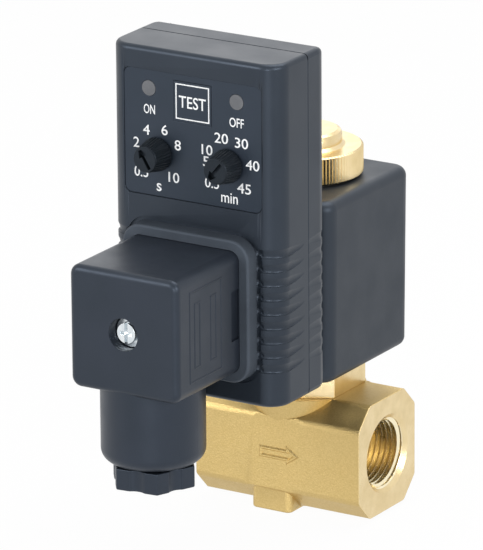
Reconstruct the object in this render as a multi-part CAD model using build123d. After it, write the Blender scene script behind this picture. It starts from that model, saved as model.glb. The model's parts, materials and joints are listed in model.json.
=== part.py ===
"""Automatic drain valve: solenoid valve, electronic timer and cable connector.

X runs along the pipe towards the outlet, -Y points to the timer's front face and
+Z runs up the valve stem. The origin is on the stem axis, in the flat underside
of the brass body. All sizes are in millimetres.
"""
import math
import os

from build123d import *

# ---------------------------------------------------------------- fits
SLIP = 0.05            # radial gap between a threaded or slipped-in piece and its hole
RUNNING = 0.08         # radial gap of the plunger in its tube and of a knob in its hole
KEY_GAP = 0.2          # gap all round the push button
BLADE_GAP = 0.2        # gap all round a contact blade in its slot
SEAL_GAP = 0.05        # lift left between the plunger's seal and the seat

# ---------------------------------------------------------------- valve body
BODY_LENGTH = 43.6
BODY_WIDTH = 25.4
BODY_HEIGHT = 27.3
BODY_CHAMFER = 5.0
LUG_WIDTH = 10.5       # flat foot that fills the lower chamfers near mid length
LUG_OFFSET = -2.2      # its middle along the pipe
LUG_HEIGHT = 7.0
LUG_DROP = 0.8         # foot below the body's underside
LUG_INSET = 0.7        # foot's front and back faces in from the body's
LUG_CORNER = 1.4
NECK_RADIUS = 14.1     # round shoulder under the stem nut
NECK_ROOT_RADIUS = 12.6
NECK_HEIGHT = 6.0
PORT_RADIUS = 7.475    # minor radius of G 3/8
PORT_DEPTH = 11.5
PORT_MOUTH_RADIUS = 9.3
PORT_MOUTH_DEPTH = 1.6
CHAMBER_RADIUS = 9.0   # threaded bore that takes the stem nut
CHAMBER_DEPTH = 8.3
WELL_RADIUS = 7.2      # lower chamber round the seat
WELL_DEPTH = 4.5
SEAT_RADIUS = 3.0
SEAT_HEIGHT = 2.5
ORIFICE_RADIUS = 2.0
PASSAGE_RADIUS = 2.6
INLET_DROP_RADIUS = 1.8

# ---------------------------------------------------------------- stem
HEX_FLATS = 24.0
HEX_HEIGHT = 7.3
HEX_EDGE = 0.8
TUBE_RADIUS = 6.5
TUBE_WALL = 1.3
TUBE_FLANGE_RADIUS = 8.6
TUBE_FLANGE = 1.5
TUBE_ABOVE_COIL = -1.0   # the tube ends this far below the coil's top
O_RING_SECTION = 1.46
O_RING_RADIUS = 8.1
CORE_LENGTH = 15.5
STUD_RADIUS = 4.9
STUD_LENGTH = 8.0
SHADING_INNER = 3.4
SHADING_OUTER = 4.3
SHADING_DEPTH = 1.2
PLUNGER_TRAVEL = 2.5
PLUNGER_STOP_GAP = 0.1
SEAL_RADIUS = 3.6
SEAL_THICKNESS = 2.0
SEAL_PROUD = 0.75
SPRING_POCKET_RADIUS = 2.9
SPRING_POCKET_DEPTH = 12.0
SPRING_RADIUS = 2.25
SPRING_WIRE = 0.5
SPRING_TURNS = 9
SPRING_END_GAP = 0.05

# ---------------------------------------------------------------- coil
COIL_WIDTH = 36.0
COIL_FRONT = 19.6      # from the stem axis forward
COIL_BACK = 18.0
COIL_HEIGHT = 42.9
COIL_CORNER = 3.6
COIL_EDGE = 2.2
COIL_DRAFT = 0.5       # degrees, so the moulding is narrower at its foot
COIL_BORE_GAP = 0.2
YOKE_SHEET = 2.4
YOKE_WIDTH = 22.0
YOKE_FRONT = 11.0
YOKE_COVER = 1.8       # moulding over the yoke's top and bottom
YOKE_BACK_COVER = 1.3
BOBBIN_WALL = 1.0
BOBBIN_FLANGE = 1.2
BOBBIN_RADIUS = 12.5
WINDING_RADIUS = 12.0
PLATFORM_SIZE = 27.0   # square seat for the plug on the coil's front
PLATFORM_CORNER = 3.0
PLATFORM_DEPTH = 4.6
GASKET = 1.5
WASHER_RADIUS = 10.5
WASHER = 0.5
NUT_RADIUS = 13.5
NUT_HEIGHT = 6.5
NUT_EDGE = 0.6
NUT_BOSS_RADIUS = 8.7
NUT_BOSS_HEIGHT = 3.6
NUT_BOSS_FLARE = 0.7
NUT_BOSS_EDGE = 1.0
NUT_THREAD_DEPTH = 8.5

# ---------------------------------------------------------------- contacts
BLADE_WIDTH = 6.3
BLADE_SHEET = 0.8
BLADE_PITCH = 18.0     # between the two line blades
EARTH_DROP = 9.0       # earth blade below the screw axis
BLADE_ROOT = 3.0       # length of blade held in its carrier
BLADE_REACH = 8.0      # length of blade past the gasket face
SCREW_RADIUS = 1.5
SCREW_HEAD_RADIUS = 2.75
SCREW_HEAD = 1.9
SCREW_SLOT = 0.8
SCREW_CROSS = 2.9      # length of the cross arm of its recess
SCREW_RECESS = 0.9
SCREW_GRIP = 6.0       # length of the long screw held in the coil
SCREW_HOLE = 0.3       # radial room round the long screw

# ---------------------------------------------------------------- timer
TIMER_WIDTH = 44.0
TIMER_HEIGHT = 79.0
TIMER_DEPTH = 22.1
TIMER_LIFT = 3.5       # timer's underside above the coil's underside
FRONT_SHELL_DEPTH = 12.8
TIMER_FRONT_CORNER = 5.2
TIMER_BACK_CORNER = 4.5
TIMER_FRONT_EDGE = 1.2
TIMER_BACK_EDGE = 3.6
SEAM_GAP = 0.35        # shadow line between the two mouldings
SEAM_DEPTH = 0.45
TIMER_WALL = 2.0
PLUG_HEIGHT = 22.5     # screw axis above the timer's underside
GRIP_COUNT = 9
GRIP_PITCH = 3.33
GRIP_FIRST = 9.15       # lowest groove above the timer's underside
GRIP_RADIUS = 1.15
GRIP_DEPTH = 0.65
GRIP_FRONT_RUN = 1.2   # straight run on the front face
GRIP_SIDE_RUN = 6.0    # run on the side face, where the groove fades out
GRIP_BACK_RUN = 1.5
LABEL_WIDTH = 35.7
LABEL_HEIGHT = 29.0
LABEL_TOP = 5.1        # label's upper edge below the timer's top
LABEL_CORNER = 1.6
LABEL_POCKET = 0.5
LABEL_SHEET = 0.25
LABEL_EDGE_GAP = 0.1
KNOB_SPACING = 18.2
KNOB_DROP = 19.1       # knob axis below the label's upper edge
KNOB_FRONT_RADIUS = 2.8
KNOB_FOOT_RADIUS = 3.7
KNOB_REACH = 5.6       # past the label
KNOB_LIFT = 0.3        # gap under the knob's foot
KNOB_SHAFT_RADIUS = 2.4
KNOB_STEM_RADIUS = 1.5
KNOB_STEM_LENGTH = 3.0
KNOB_SLOT_WIDTH = 0.8
KNOB_SLOT_DEPTH = 1.2
KNOB_ARROW = 2.2       # width across the pointer's arrow head
ON_TIME_REST = -32.0   # pointer's angle at rest, clockwise from straight up
OFF_TIME_REST = -140.0
WINDOW_SPACING = 22.7
WINDOW_DROP = 4.3
WINDOW_RADIUS = 1.8
KEY_WIDTH = 9.4
KEY_HEIGHT = 8.9
KEY_DROP = 6.2
KEY_STEM = 2.6
KEY_FLANGE = 0.8
KEY_FLANGE_WIDTH = 0.9
SHOULDER_GAP = 0.05
KEY_TRAVEL = 0.4

# ---------------------------------------------------------------- timer inside
BOARD_SHEET = 1.6
BOARD_BACK = 9.3       # board's rear face in front of the timer's rear face
BOARD_EDGE_GAP = 0.5
POST_RADIUS = 2.6
POST_INSET = 4.4       # post axis in from the timer's outer faces
POST_SCREW_RADIUS = 1.2
POST_SCREW_HEAD_RADIUS = 2.2
POST_SCREW_HEAD = 1.4
POST_SCREW_REACH = 4.5
SLEEVE_WALL = 1.4
POT_SIZE = 9.0
POT_DEPTH = 5.0
SWITCH_SIZE = 6.0
SWITCH_DEPTH = 3.4
LED_RADIUS = 1.5
CAPACITOR_RADIUS = 4.0
CAPACITOR_LENGTH = 16.0
CAPACITOR_X = -9.0
DRIVER_WIDTH = 10.0
DRIVER_HEIGHT = 9.0
DRIVER_DEPTH = 4.4
CLIP_WALL = 0.8

# ---------------------------------------------------------------- connector
PLUG_WIDTH = 28.0
PLUG_TALL = 28.3
PLUG_DEPTH = 28.2
PLUG_CORNER = 2.4
PLUG_EDGE = 1.5
PLUG_WALL = 2.0
PLUG_FRONT_WALL = 5.5
PLUG_SCREW_WELL = 3.75
PLUG_SCREW_DEPTH = 3.6
NOTCH_WIDTH = 3.6
NOTCH_DEPTH = 0.6
NOTCH_HEIGHT = 11.6
NOTCH_BACK = 2.2       # notch in front of the plug's rear end
FRAME_SIDE = 2.4       # frame's sides beyond the plug
FRAME_FOOT = 1.0
FRAME_RISE = 3.6
FRAME_CORNER = 4.8
FRAME_MOAT = 1.0       # shallow recess in the timer round the frame
FRAME_MOAT_DEPTH = 0.5
FRAME_ROUND = 0.6
FRAME_FIT = 0.1
FRAME_LAND = 3.0       # width of the frame's foot under the plug's wall
BARREL_RADIUS = 11.7
BARREL_LENGTH = 17.9
BARREL_BACK = 11.9     # barrel axis behind the plug's front face
BARREL_EDGE = 3.0
BARREL_BORE = 7.6
BARREL_BORE_DEPTH = 10.2
CABLE_THROAT = 5.6
GLAND_FLATS = 17.4
GLAND_HEX = 5.0
GLAND_HOLLOW = 0.6     # depth of the hollow in each flat
GLAND_HOLLOW_RADIUS = 3.0
GLAND_TURN = 6.2       # degrees
GLAND_GAP = 0.4        # thread left showing
GLAND_GRIP = 4.0
GLAND_BORE = 4.6
GROMMET_BORE = 3.25
GROMMET_LENGTH = 5.4
GLAND_WASHER = 0.6
INSERT_DEPTH = 15.0
INSERT_GAP = 0.2
CLAMP_LENGTH = 8.5
CLAMP_WALL = 1.2
CLAMP_SCREW_RADIUS = 1.2
CLAMP_SCREW_LENGTH = 4.0

# ---------------------------------------------------------------- derived levels
BODY_TOP = LUG_DROP + BODY_HEIGHT
AXIS_Z = LUG_DROP + BODY_HEIGHT / 2
CHAMBER_FLOOR = BODY_TOP - CHAMBER_DEPTH
WELL_FLOOR = CHAMBER_FLOOR - WELL_DEPTH
SEAT_TOP = WELL_FLOOR + SEAT_HEIGHT
COIL_BOTTOM = BODY_TOP + HEX_HEIGHT
COIL_TOP = COIL_BOTTOM + COIL_HEIGHT
TUBE_TOP = COIL_TOP + TUBE_ABOVE_COIL
CORE_BOTTOM = TUBE_TOP - CORE_LENGTH
TUBE_INNER = TUBE_RADIUS - TUBE_WALL
COIL_BORE = TUBE_RADIUS + COIL_BORE_GAP
NUT_BOTTOM = COIL_TOP + WASHER
PLATFORM_Y = -COIL_FRONT - PLATFORM_DEPTH
TIMER_BACK_Y = PLATFORM_Y - GASKET
TIMER_FRONT_Y = TIMER_BACK_Y - TIMER_DEPTH
SEAM_Y = TIMER_FRONT_Y + FRONT_SHELL_DEPTH
TIMER_BOTTOM = COIL_BOTTOM + TIMER_LIFT
TIMER_TOP = TIMER_BOTTOM + TIMER_HEIGHT
PLUG_Z = TIMER_BOTTOM + PLUG_HEIGHT
LABEL_TOP_Z = TIMER_TOP - LABEL_TOP
LABEL_Z = LABEL_TOP_Z - LABEL_HEIGHT / 2
LABEL_FLOOR_Y = TIMER_FRONT_Y + LABEL_POCKET
LABEL_Y = LABEL_FLOOR_Y - LABEL_SHEET
KNOB_Z = LABEL_TOP_Z - KNOB_DROP
WINDOW_Z = LABEL_TOP_Z - WINDOW_DROP
KEY_Z = LABEL_TOP_Z - KEY_DROP
BOARD_REAR_Y = TIMER_BACK_Y - BOARD_BACK
BOARD_FRONT_Y = BOARD_REAR_Y - BOARD_SHEET
FRONT_WALL_Y = TIMER_FRONT_Y + TIMER_WALL
BACK_WALL_Y = TIMER_BACK_Y - TIMER_WALL
PLUG_BACK_Y = TIMER_FRONT_Y - FRAME_FOOT
PLUG_FRONT_Y = PLUG_BACK_Y - PLUG_DEPTH
PLUG_BOTTOM = PLUG_Z - PLUG_TALL / 2
BARREL_Y = PLUG_FRONT_Y + BARREL_BACK
BARREL_BOTTOM = PLUG_BOTTOM - BARREL_LENGTH
INSERT_FRONT_Y = PLUG_BACK_Y - INSERT_DEPTH
SCREW_SEAT_Y = PLUG_FRONT_Y + PLUG_SCREW_DEPTH
SCREW_TIP_Y = PLATFORM_Y + SCREW_GRIP


# ---------------------------------------------------------------- helpers
def block(x0, x1, y0, y1, z0, z1):
    """A square-edged block between two corners."""
    middle = Pos((x0 + x1) / 2, (y0 + y1) / 2, (z0 + z1) / 2)
    return middle * Box(x1 - x0, y1 - y0, z1 - z0)


def post(radius, z0, z1, x=0, y=0):
    """An upright round bar."""
    return Pos(x, y, (z0 + z1) / 2) * Cylinder(radius, z1 - z0)


def rod(radius, y0, y1, x=0, z=0):
    """A round bar that runs front to back."""
    return Pos(x, (y0 + y1) / 2, z) * Rot(90, 0, 0) * Cylinder(radius, y1 - y0)


def bar(radius, x0, x1, y=0, z=0):
    """A round bar that runs along the pipe."""
    return Pos((x0 + x1) / 2, y, z) * Rot(0, 90, 0) * Cylinder(radius, x1 - x0)


def face_plate(width, height, corner, y0, y1, x=0, z=0):
    """An upright plate with rounded corners, seen square-on from the front."""
    plane = Plane((x, y1, z), x_dir=(1, 0, 0), z_dir=(0, -1, 0))
    return extrude(plane * RectangleRounded(width, height, corner), y1 - y0)


def plan_outline(width, y0, y1, front, back):
    """A plan outline with its own corner radius at the front and the back."""
    outline = Pos(0, (y0 + y1) / 2) * Rectangle(width, y1 - y0)
    if front > 0:
        outline = fillet(outline.vertices().group_by(Axis.Y)[0], front)
    if back > 0:
        outline = fillet(outline.vertices().group_by(Axis.Y)[-1], back)
    return outline


def plan_block(width, y0, y1, z0, z1, front=0.0, back=0.0):
    """A block with upright rounded corners."""
    return extrude(Pos(0, 0, z0) * plan_outline(width, y0, y1, front, back), z1 - z0)


def ring(outer, inner, z0, z1, x=0, y=0):
    """An upright tube."""
    return post(outer, z0, z1, x, y) - post(inner, z0, z1, x, y)


def blade_places():
    """Each contact blade as x, z, width and height, seen from the front."""
    sides = [(s * BLADE_PITCH / 2, PLUG_Z, BLADE_SHEET, BLADE_WIDTH) for s in (-1, 1)]
    return sides + [(0, PLUG_Z - EARTH_DROP, BLADE_WIDTH, BLADE_SHEET)]


def blades(y0, y1, grow=0.0):
    """Three flat blades, or with grow the slots that clear them."""
    return [
        block(x - w / 2 - grow, x + w / 2 + grow, y0, y1, z - h / 2 - grow, z + h / 2 + grow)
        for x, z, w, h in blade_places()
    ]


def cut(shape, *tools):
    """The shape less each tool, or less each tool of a list."""
    for tool in tools:
        for piece in tool if isinstance(tool, list) else [tool]:
            shape = shape - piece
    return shape


def join(*shapes):
    """One solid from touching shapes."""
    total = shapes[0]
    for shape in shapes[1:]:
        total = total + shape
    return total


# ---------------------------------------------------------------- valve body
def valve_body():
    bar_block = Pos(0, 0, AXIS_Z) * Box(BODY_LENGTH, BODY_WIDTH, BODY_HEIGHT)
    forging = chamfer(bar_block.edges().filter_by(Axis.X), BODY_CHAMFER)
    half = BODY_WIDTH / 2 - LUG_INSET
    low_x = LUG_OFFSET - LUG_WIDTH / 2
    lug = block(low_x, low_x + LUG_WIDTH, -half, half, 0, LUG_HEIGHT)
    lug = fillet(lug.edges().filter_by(Axis.Z), LUG_CORNER)
    shoulder = Pos(0, 0, BODY_TOP - NECK_HEIGHT / 2) * Cone(
        NECK_ROOT_RADIUS, NECK_RADIUS, NECK_HEIGHT
    )
    forging = join(forging, lug, shoulder)
    for side in (-1, 1):
        forging = cut(forging, port_tool(side))
    chamber = post(CHAMBER_RADIUS, CHAMBER_FLOOR, BODY_TOP)
    well = ring(WELL_RADIUS, SEAT_RADIUS, WELL_FLOOR, CHAMBER_FLOOR)
    above_seat = post(SEAT_RADIUS, SEAT_TOP, CHAMBER_FLOOR)
    return cut(forging, chamber, well, above_seat, passages())


def port_tool(side):
    """The threaded socket and its mouth chamfer at one end of the body."""
    end = side * BODY_LENGTH / 2
    inner = end - side * PORT_DEPTH
    socket = bar(PORT_RADIUS, min(end, inner), max(end, inner), 0, AXIS_Z)
    mouth = Cone(PORT_RADIUS, PORT_MOUTH_RADIUS, PORT_MOUTH_DEPTH)
    mouth = Pos(end - side * PORT_MOUTH_DEPTH / 2, 0, AXIS_Z) * Rot(0, side * 90, 0) * mouth
    return socket + mouth


def passages():
    """Inlet bore up to the well, and seat orifice down to the outlet bore."""
    port_floor = BODY_LENGTH / 2 - PORT_DEPTH
    drop_x = -(WELL_RADIUS + SEAT_RADIUS) / 2
    outlet_z = AXIS_Z - PORT_RADIUS + PASSAGE_RADIUS
    inlet_z = AXIS_Z
    orifice = post(ORIFICE_RADIUS, outlet_z, SEAT_TOP)
    outlet = bar(PASSAGE_RADIUS, 0, port_floor, 0, outlet_z)
    elbow = Pos(0, 0, outlet_z) * Sphere(PASSAGE_RADIUS)
    inlet = bar(INLET_DROP_RADIUS, -port_floor, drop_x, 0, inlet_z)
    drop = post(INLET_DROP_RADIUS, inlet_z, WELL_FLOOR, drop_x)
    knee = Pos(drop_x, 0, inlet_z) * Sphere(INLET_DROP_RADIUS)
    return [orifice, outlet, elbow, inlet, drop, knee]


# ---------------------------------------------------------------- stem
def stem_base_nut():
    hexagon = RegularPolygon(HEX_FLATS / 2, 6, major_radius=False)
    head = extrude(Pos(0, 0, BODY_TOP) * Rot(0, 0, 30) * hexagon, HEX_HEIGHT)
    corner = HEX_FLATS / math.sqrt(3)
    crown = post(corner, BODY_TOP, COIL_BOTTOM)
    crown = chamfer(crown.edges().group_by(Axis.Z)[-1], HEX_EDGE)
    spigot = post(CHAMBER_RADIUS - SLIP, flange_top(), BODY_TOP)
    nut = (head & crown) + spigot
    return nut - post(TUBE_RADIUS + SLIP, flange_top(), COIL_BOTTOM)


def o_ring_top():
    return CHAMBER_FLOOR + O_RING_SECTION


def flange_top():
    return o_ring_top() + TUBE_FLANGE


def guide_tube():
    tube = post(TUBE_RADIUS, o_ring_top(), TUBE_TOP)
    flange = post(TUBE_FLANGE_RADIUS, o_ring_top(), flange_top())
    return (tube + flange) - post(TUBE_INNER, o_ring_top(), TUBE_TOP)


def tube_o_ring():
    centre = Pos(0, 0, CHAMBER_FLOOR + O_RING_SECTION / 2)
    return centre * Torus(O_RING_RADIUS, O_RING_SECTION / 2 - SLIP / 2)


def fixed_core():
    core = post(TUBE_INNER, CORE_BOTTOM, TUBE_TOP)
    collar = post(TUBE_RADIUS, TUBE_TOP, COIL_TOP)
    stud = post(STUD_RADIUS, COIL_TOP, COIL_TOP + STUD_LENGTH)
    return join(core, collar, stud) - shading_ring()


def shading_ring():
    return ring(SHADING_OUTER, SHADING_INNER, CORE_BOTTOM, CORE_BOTTOM + SHADING_DEPTH)


def plunger():
    bottom = SEAT_TOP + SEAL_GAP + SEAL_PROUD
    top = CORE_BOTTOM - PLUNGER_TRAVEL - PLUNGER_STOP_GAP
    rod_body = post(TUBE_INNER - RUNNING, bottom, top)
    rod_body = chamfer(rod_body.edges().group_by(Axis.Z)[-1], 0.5)
    pocket = post(SPRING_POCKET_RADIUS, top - SPRING_POCKET_DEPTH, top)
    return cut(rod_body, pocket, plunger_seal())


def plunger_seal():
    bottom = SEAT_TOP + SEAL_GAP
    return post(SEAL_RADIUS, bottom, bottom + SEAL_THICKNESS)


def return_spring():
    top = CORE_BOTTOM - SPRING_END_GAP
    bottom = CORE_BOTTOM - PLUNGER_TRAVEL - PLUNGER_STOP_GAP - SPRING_POCKET_DEPTH
    bottom = bottom + SPRING_END_GAP
    rise = top - bottom - SPRING_WIRE
    path = Pos(0, 0, bottom + SPRING_WIRE / 2) * Helix(rise / SPRING_TURNS, rise, SPRING_RADIUS)
    start = Plane(path @ 0, z_dir=path % 0)
    return sweep(start * Circle(SPRING_WIRE / 2), path)


# ---------------------------------------------------------------- coil
def coil_yoke():
    low = COIL_BOTTOM + YOKE_COVER
    high = COIL_TOP - YOKE_COVER
    half = YOKE_WIDTH / 2
    back = COIL_BACK - YOKE_BACK_COVER
    bottom = block(-half, half, -YOKE_FRONT, back, low, low + YOKE_SHEET)
    top = block(-half, half, -YOKE_FRONT, back, high - YOKE_SHEET, high)
    rear = block(-half, half, back - YOKE_SHEET, back, low, high)
    return join(bottom, top, rear) - post(COIL_BORE, low, high)


def bobbin_range():
    trim = YOKE_COVER + YOKE_SHEET
    return COIL_BOTTOM + trim, COIL_TOP - trim


def coil_bobbin():
    low, high = bobbin_range()
    hub = post(COIL_BORE + BOBBIN_WALL, low, high)
    cheeks = [post(BOBBIN_RADIUS, z, z + BOBBIN_FLANGE) for z in (low, high - BOBBIN_FLANGE)]
    return join(hub, *cheeks) - post(COIL_BORE, low, high)


def coil_winding():
    low, high = bobbin_range()
    return ring(WINDING_RADIUS, COIL_BORE + BOBBIN_WALL, low + BOBBIN_FLANGE, high - BOBBIN_FLANGE)


def coil_terminals():
    return Compound(children=blades(PLATFORM_Y - GASKET - BLADE_REACH, PLATFORM_Y + BLADE_ROOT))


def coil_housing():
    shrink = COIL_HEIGHT * math.tan(math.radians(COIL_DRAFT))
    foot = plan_outline(
        COIL_WIDTH - 2 * shrink, -COIL_FRONT + shrink, COIL_BACK - shrink, COIL_CORNER, COIL_CORNER
    )
    case = extrude(Pos(0, 0, COIL_BOTTOM) * foot, COIL_HEIGHT, taper=-COIL_DRAFT)
    rims = case.edges().group_by(Axis.Z)
    case = fillet(rims[0] + rims[-1], COIL_EDGE)
    seat = face_plate(PLATFORM_SIZE, PLATFORM_SIZE, PLATFORM_CORNER, PLATFORM_Y, -COIL_FRONT + 1, 0, PLUG_Z)
    case = case + seat
    hole = rod(SCREW_RADIUS + SLIP, PLATFORM_Y, SCREW_TIP_Y + 1, 0, PLUG_Z)
    bore = post(COIL_BORE, COIL_BOTTOM, COIL_TOP)
    roots = blades(PLATFORM_Y, PLATFORM_Y + BLADE_ROOT)
    return cut(case, bore, coil_yoke(), coil_bobbin(), coil_winding(), hole, roots)


def coil_gasket():
    sheet = face_plate(PLATFORM_SIZE, PLATFORM_SIZE, PLATFORM_CORNER, TIMER_BACK_Y, PLATFORM_Y, 0, PLUG_Z)
    hole = rod(SCREW_RADIUS + SCREW_HOLE, TIMER_BACK_Y, PLATFORM_Y, 0, PLUG_Z)
    return cut(sheet, hole, blades(TIMER_BACK_Y, PLATFORM_Y, BLADE_GAP))


def nut_washer():
    return ring(WASHER_RADIUS, STUD_RADIUS + SLIP, COIL_TOP, NUT_BOTTOM)


def knurled_nut():
    disc = post(NUT_RADIUS, NUT_BOTTOM, NUT_BOTTOM + NUT_HEIGHT)
    disc = chamfer(disc.edges().filter_by(GeomType.CIRCLE), NUT_EDGE)
    top = NUT_BOTTOM + NUT_HEIGHT + NUT_BOSS_HEIGHT
    boss = post(NUT_BOSS_RADIUS, NUT_BOTTOM + NUT_HEIGHT, top)
    boss = chamfer(boss.edges().group_by(Axis.Z)[-1], NUT_BOSS_EDGE)
    flare = Pos(0, 0, NUT_BOTTOM + NUT_HEIGHT + NUT_BOSS_FLARE / 2) * Cone(
        NUT_BOSS_RADIUS + NUT_BOSS_FLARE, NUT_BOSS_RADIUS, NUT_BOSS_FLARE
    )
    thread = post(STUD_RADIUS + SLIP, NUT_BOTTOM, NUT_BOTTOM + NUT_THREAD_DEPTH)
    return join(disc, boss, flare) - thread


# ---------------------------------------------------------------- timer housings
def post_places():
    """The four screw posts of the timer as x, z."""
    x = TIMER_WIDTH / 2 - POST_INSET
    low = TIMER_BOTTOM + POST_INSET
    high = TIMER_TOP - POST_INSET
    return [(-x, low), (x, low), (-x, high), (x, high)]


def front_shell_blank():
    blank = plan_block(
        TIMER_WIDTH, TIMER_FRONT_Y, SEAM_Y, TIMER_BOTTOM, TIMER_TOP, TIMER_FRONT_CORNER
    )
    levels = blank.edges().group_by(Axis.Z)
    rims = (levels[0] + levels[-1]).filter_by(lambda e: e.center().Y < SEAM_Y - 0.01)
    return fillet(rims, TIMER_FRONT_EDGE)


def grip_groove(side, level, face_y, inward, corner, face_run):
    """A round-bottomed groove round an upright corner that fades out along the side.

    inward is 1 for a front corner and -1 for a rear one.
    """
    x = TIMER_WIDTH / 2
    turn = corner * math.sqrt(0.5)
    start = (x - corner - face_run, face_y)
    on_face = (x - corner, face_y)
    mid = (x - corner + turn, face_y + inward * (corner - turn))
    on_side = (x, face_y + inward * corner)
    end = (x + GRIP_DEPTH, face_y + inward * (corner + GRIP_SIDE_RUN))
    path = Line(start, on_face) + ThreePointArc(on_face, mid, on_side) + Line(on_side, end)
    plane = Plane((start[0], start[1], 0), x_dir=(0, inward, 0), z_dir=(1, 0, 0))
    section = Pos(GRIP_DEPTH - GRIP_RADIUS, 0) * Circle(GRIP_RADIUS)
    groove = Pos(0, 0, level) * sweep(plane * section, path)
    return groove if side > 0 else mirror(groove, Plane.YZ)


def grip_levels():
    return [TIMER_BOTTOM + GRIP_FIRST + i * GRIP_PITCH for i in range(GRIP_COUNT)]


def front_grip():
    run = GRIP_FRONT_RUN
    return [
        grip_groove(side, level, TIMER_FRONT_Y, 1, TIMER_FRONT_CORNER, run)
        for side in (-1, 1) for level in grip_levels()
    ]


def rear_grip():
    return [
        grip_groove(side, level, TIMER_BACK_Y, -1, TIMER_BACK_CORNER, GRIP_BACK_RUN)
        for side in (-1, 1) for level in grip_levels()
    ]


def timer_cavity(y0, y1, front, back):
    wall = TIMER_WALL
    return plan_block(
        TIMER_WIDTH - 2 * wall, y0, y1, TIMER_BOTTOM + wall, TIMER_TOP - wall, front, back
    )


def timer_front_housing():
    shell = front_shell_blank()
    cavity = timer_cavity(FRONT_WALL_Y, SEAM_Y, TIMER_FRONT_CORNER - TIMER_WALL, 0)
    posts = [rod(POST_RADIUS, FRONT_WALL_Y - 0.2, BOARD_FRONT_Y, x, z) for x, z in post_places()]
    sleeve_radius = SCREW_RADIUS + SCREW_HOLE + SLEEVE_WALL
    sleeve = rod(sleeve_radius, FRONT_WALL_Y - 0.2, BOARD_FRONT_Y, 0, PLUG_Z)
    shell = join(shell - cavity, *posts, sleeve)
    pocket = face_plate(LABEL_WIDTH, LABEL_HEIGHT, LABEL_CORNER, TIMER_FRONT_Y, LABEL_FLOOR_Y, 0, LABEL_Z)
    screws = [post_screw_hole(x, z) for x, z in post_places()]
    screw_way = rod(SCREW_RADIUS + SCREW_HOLE, TIMER_FRONT_Y, BOARD_FRONT_Y, 0, PLUG_Z)
    slots = blades(TIMER_FRONT_Y, FRONT_WALL_Y, BLADE_GAP)
    shell = cut(shell, pocket, front_grip(), frame_moat(), screws, screw_way, slots)
    return cut(shell, panel_holes(FRONT_WALL_Y))


def frame_moat():
    """A shallow recess in the timer's face round the connector's frame."""
    frame_wide = PLUG_WIDTH + 2 * FRAME_SIDE
    frame_tall = PLUG_TALL + 2 * FRAME_SIDE
    y1 = TIMER_FRONT_Y + FRAME_MOAT_DEPTH
    outer = face_plate(
        frame_wide + 2 * FRAME_MOAT, frame_tall + 2 * FRAME_MOAT, FRAME_CORNER + FRAME_MOAT,
        TIMER_FRONT_Y, y1, 0, PLUG_Z,
    )
    return outer - face_plate(frame_wide, frame_tall, FRAME_CORNER, TIMER_FRONT_Y, y1, 0, PLUG_Z)


def post_screw_hole(x, z):
    return rod(POST_SCREW_RADIUS + SLIP, BOARD_FRONT_Y - POST_SCREW_REACH, TIMER_BACK_Y, x, z)


def knob_places():
    return [(-KNOB_SPACING / 2, KNOB_Z), (KNOB_SPACING / 2, KNOB_Z)]


def window_places():
    return [(-WINDOW_SPACING / 2, WINDOW_Z), (WINDOW_SPACING / 2, WINDOW_Z)]


def panel_holes(y1):
    """Holes behind the label for the knobs, the lamps and the push button."""
    knobs = [rod(KNOB_SHAFT_RADIUS + RUNNING, TIMER_FRONT_Y, y1, x, z) for x, z in knob_places()]
    lamps = [rod(WINDOW_RADIUS, TIMER_FRONT_Y, y1, x, z) for x, z in window_places()]
    return knobs + lamps + [key_block(TIMER_FRONT_Y, y1, KEY_GAP)]


def key_block(y0, y1, grow=0.0):
    half_w = KEY_WIDTH / 2 + grow
    half_h = KEY_HEIGHT / 2 + grow
    return block(-half_w, half_w, y0, y1, KEY_Z - half_h, KEY_Z + half_h)


def rear_cover_blank():
    """The plan outline crossed with the side profile, so both rear edges are rounded."""
    plan = plan_block(
        TIMER_WIDTH, SEAM_Y, TIMER_BACK_Y, TIMER_BOTTOM, TIMER_TOP, 0, TIMER_BACK_CORNER
    )
    middle = Pos((SEAM_Y + TIMER_BACK_Y) / 2, (TIMER_BOTTOM + TIMER_TOP) / 2)
    profile = middle * Rectangle(TIMER_BACK_Y - SEAM_Y, TIMER_HEIGHT)
    profile = fillet(profile.vertices().group_by(Axis.X)[-1], TIMER_BACK_EDGE)
    return plan & extrude(Plane.YZ * profile, TIMER_WIDTH / 2, both=True)


def seam_groove():
    """A shallow slot round the joint of the two mouldings."""
    wide = TIMER_WIDTH / 2 + 1
    y1 = SEAM_Y + SEAM_GAP
    middle = (TIMER_BOTTOM + TIMER_TOP) / 2
    outer = block(-wide, wide, SEAM_Y, y1, TIMER_BOTTOM - 1, TIMER_TOP + 1)
    inner = face_plate(
        TIMER_WIDTH - 2 * SEAM_DEPTH, TIMER_HEIGHT - 2 * SEAM_DEPTH, TIMER_FRONT_EDGE,
        SEAM_Y, y1, 0, middle,
    )
    return outer - inner


def timer_rear_cover():
    shell = rear_cover_blank()
    cavity = timer_cavity(SEAM_Y, BACK_WALL_Y, 0, TIMER_BACK_CORNER - TIMER_WALL)
    posts = [rod(POST_RADIUS, BOARD_REAR_Y, BACK_WALL_Y + 0.2, x, z) for x, z in post_places()]
    sleeve_radius = SCREW_RADIUS + SCREW_HOLE + SLEEVE_WALL
    sleeve = rod(sleeve_radius, BOARD_REAR_Y, BACK_WALL_Y + 0.2, 0, PLUG_Z)
    shell = join(shell - cavity, *posts, sleeve)
    screw_way = rod(SCREW_RADIUS + SCREW_HOLE, BOARD_REAR_Y, TIMER_BACK_Y, 0, PLUG_Z)
    heads = [screw_head_tool(x, z) for x, z in post_places()]
    holes = [post_screw_hole(x, z) for x, z in post_places()]
    slots = blades(BACK_WALL_Y, TIMER_BACK_Y, BLADE_GAP)
    return cut(shell, seam_groove(), rear_grip(), screw_way, heads, holes, slots)


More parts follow.
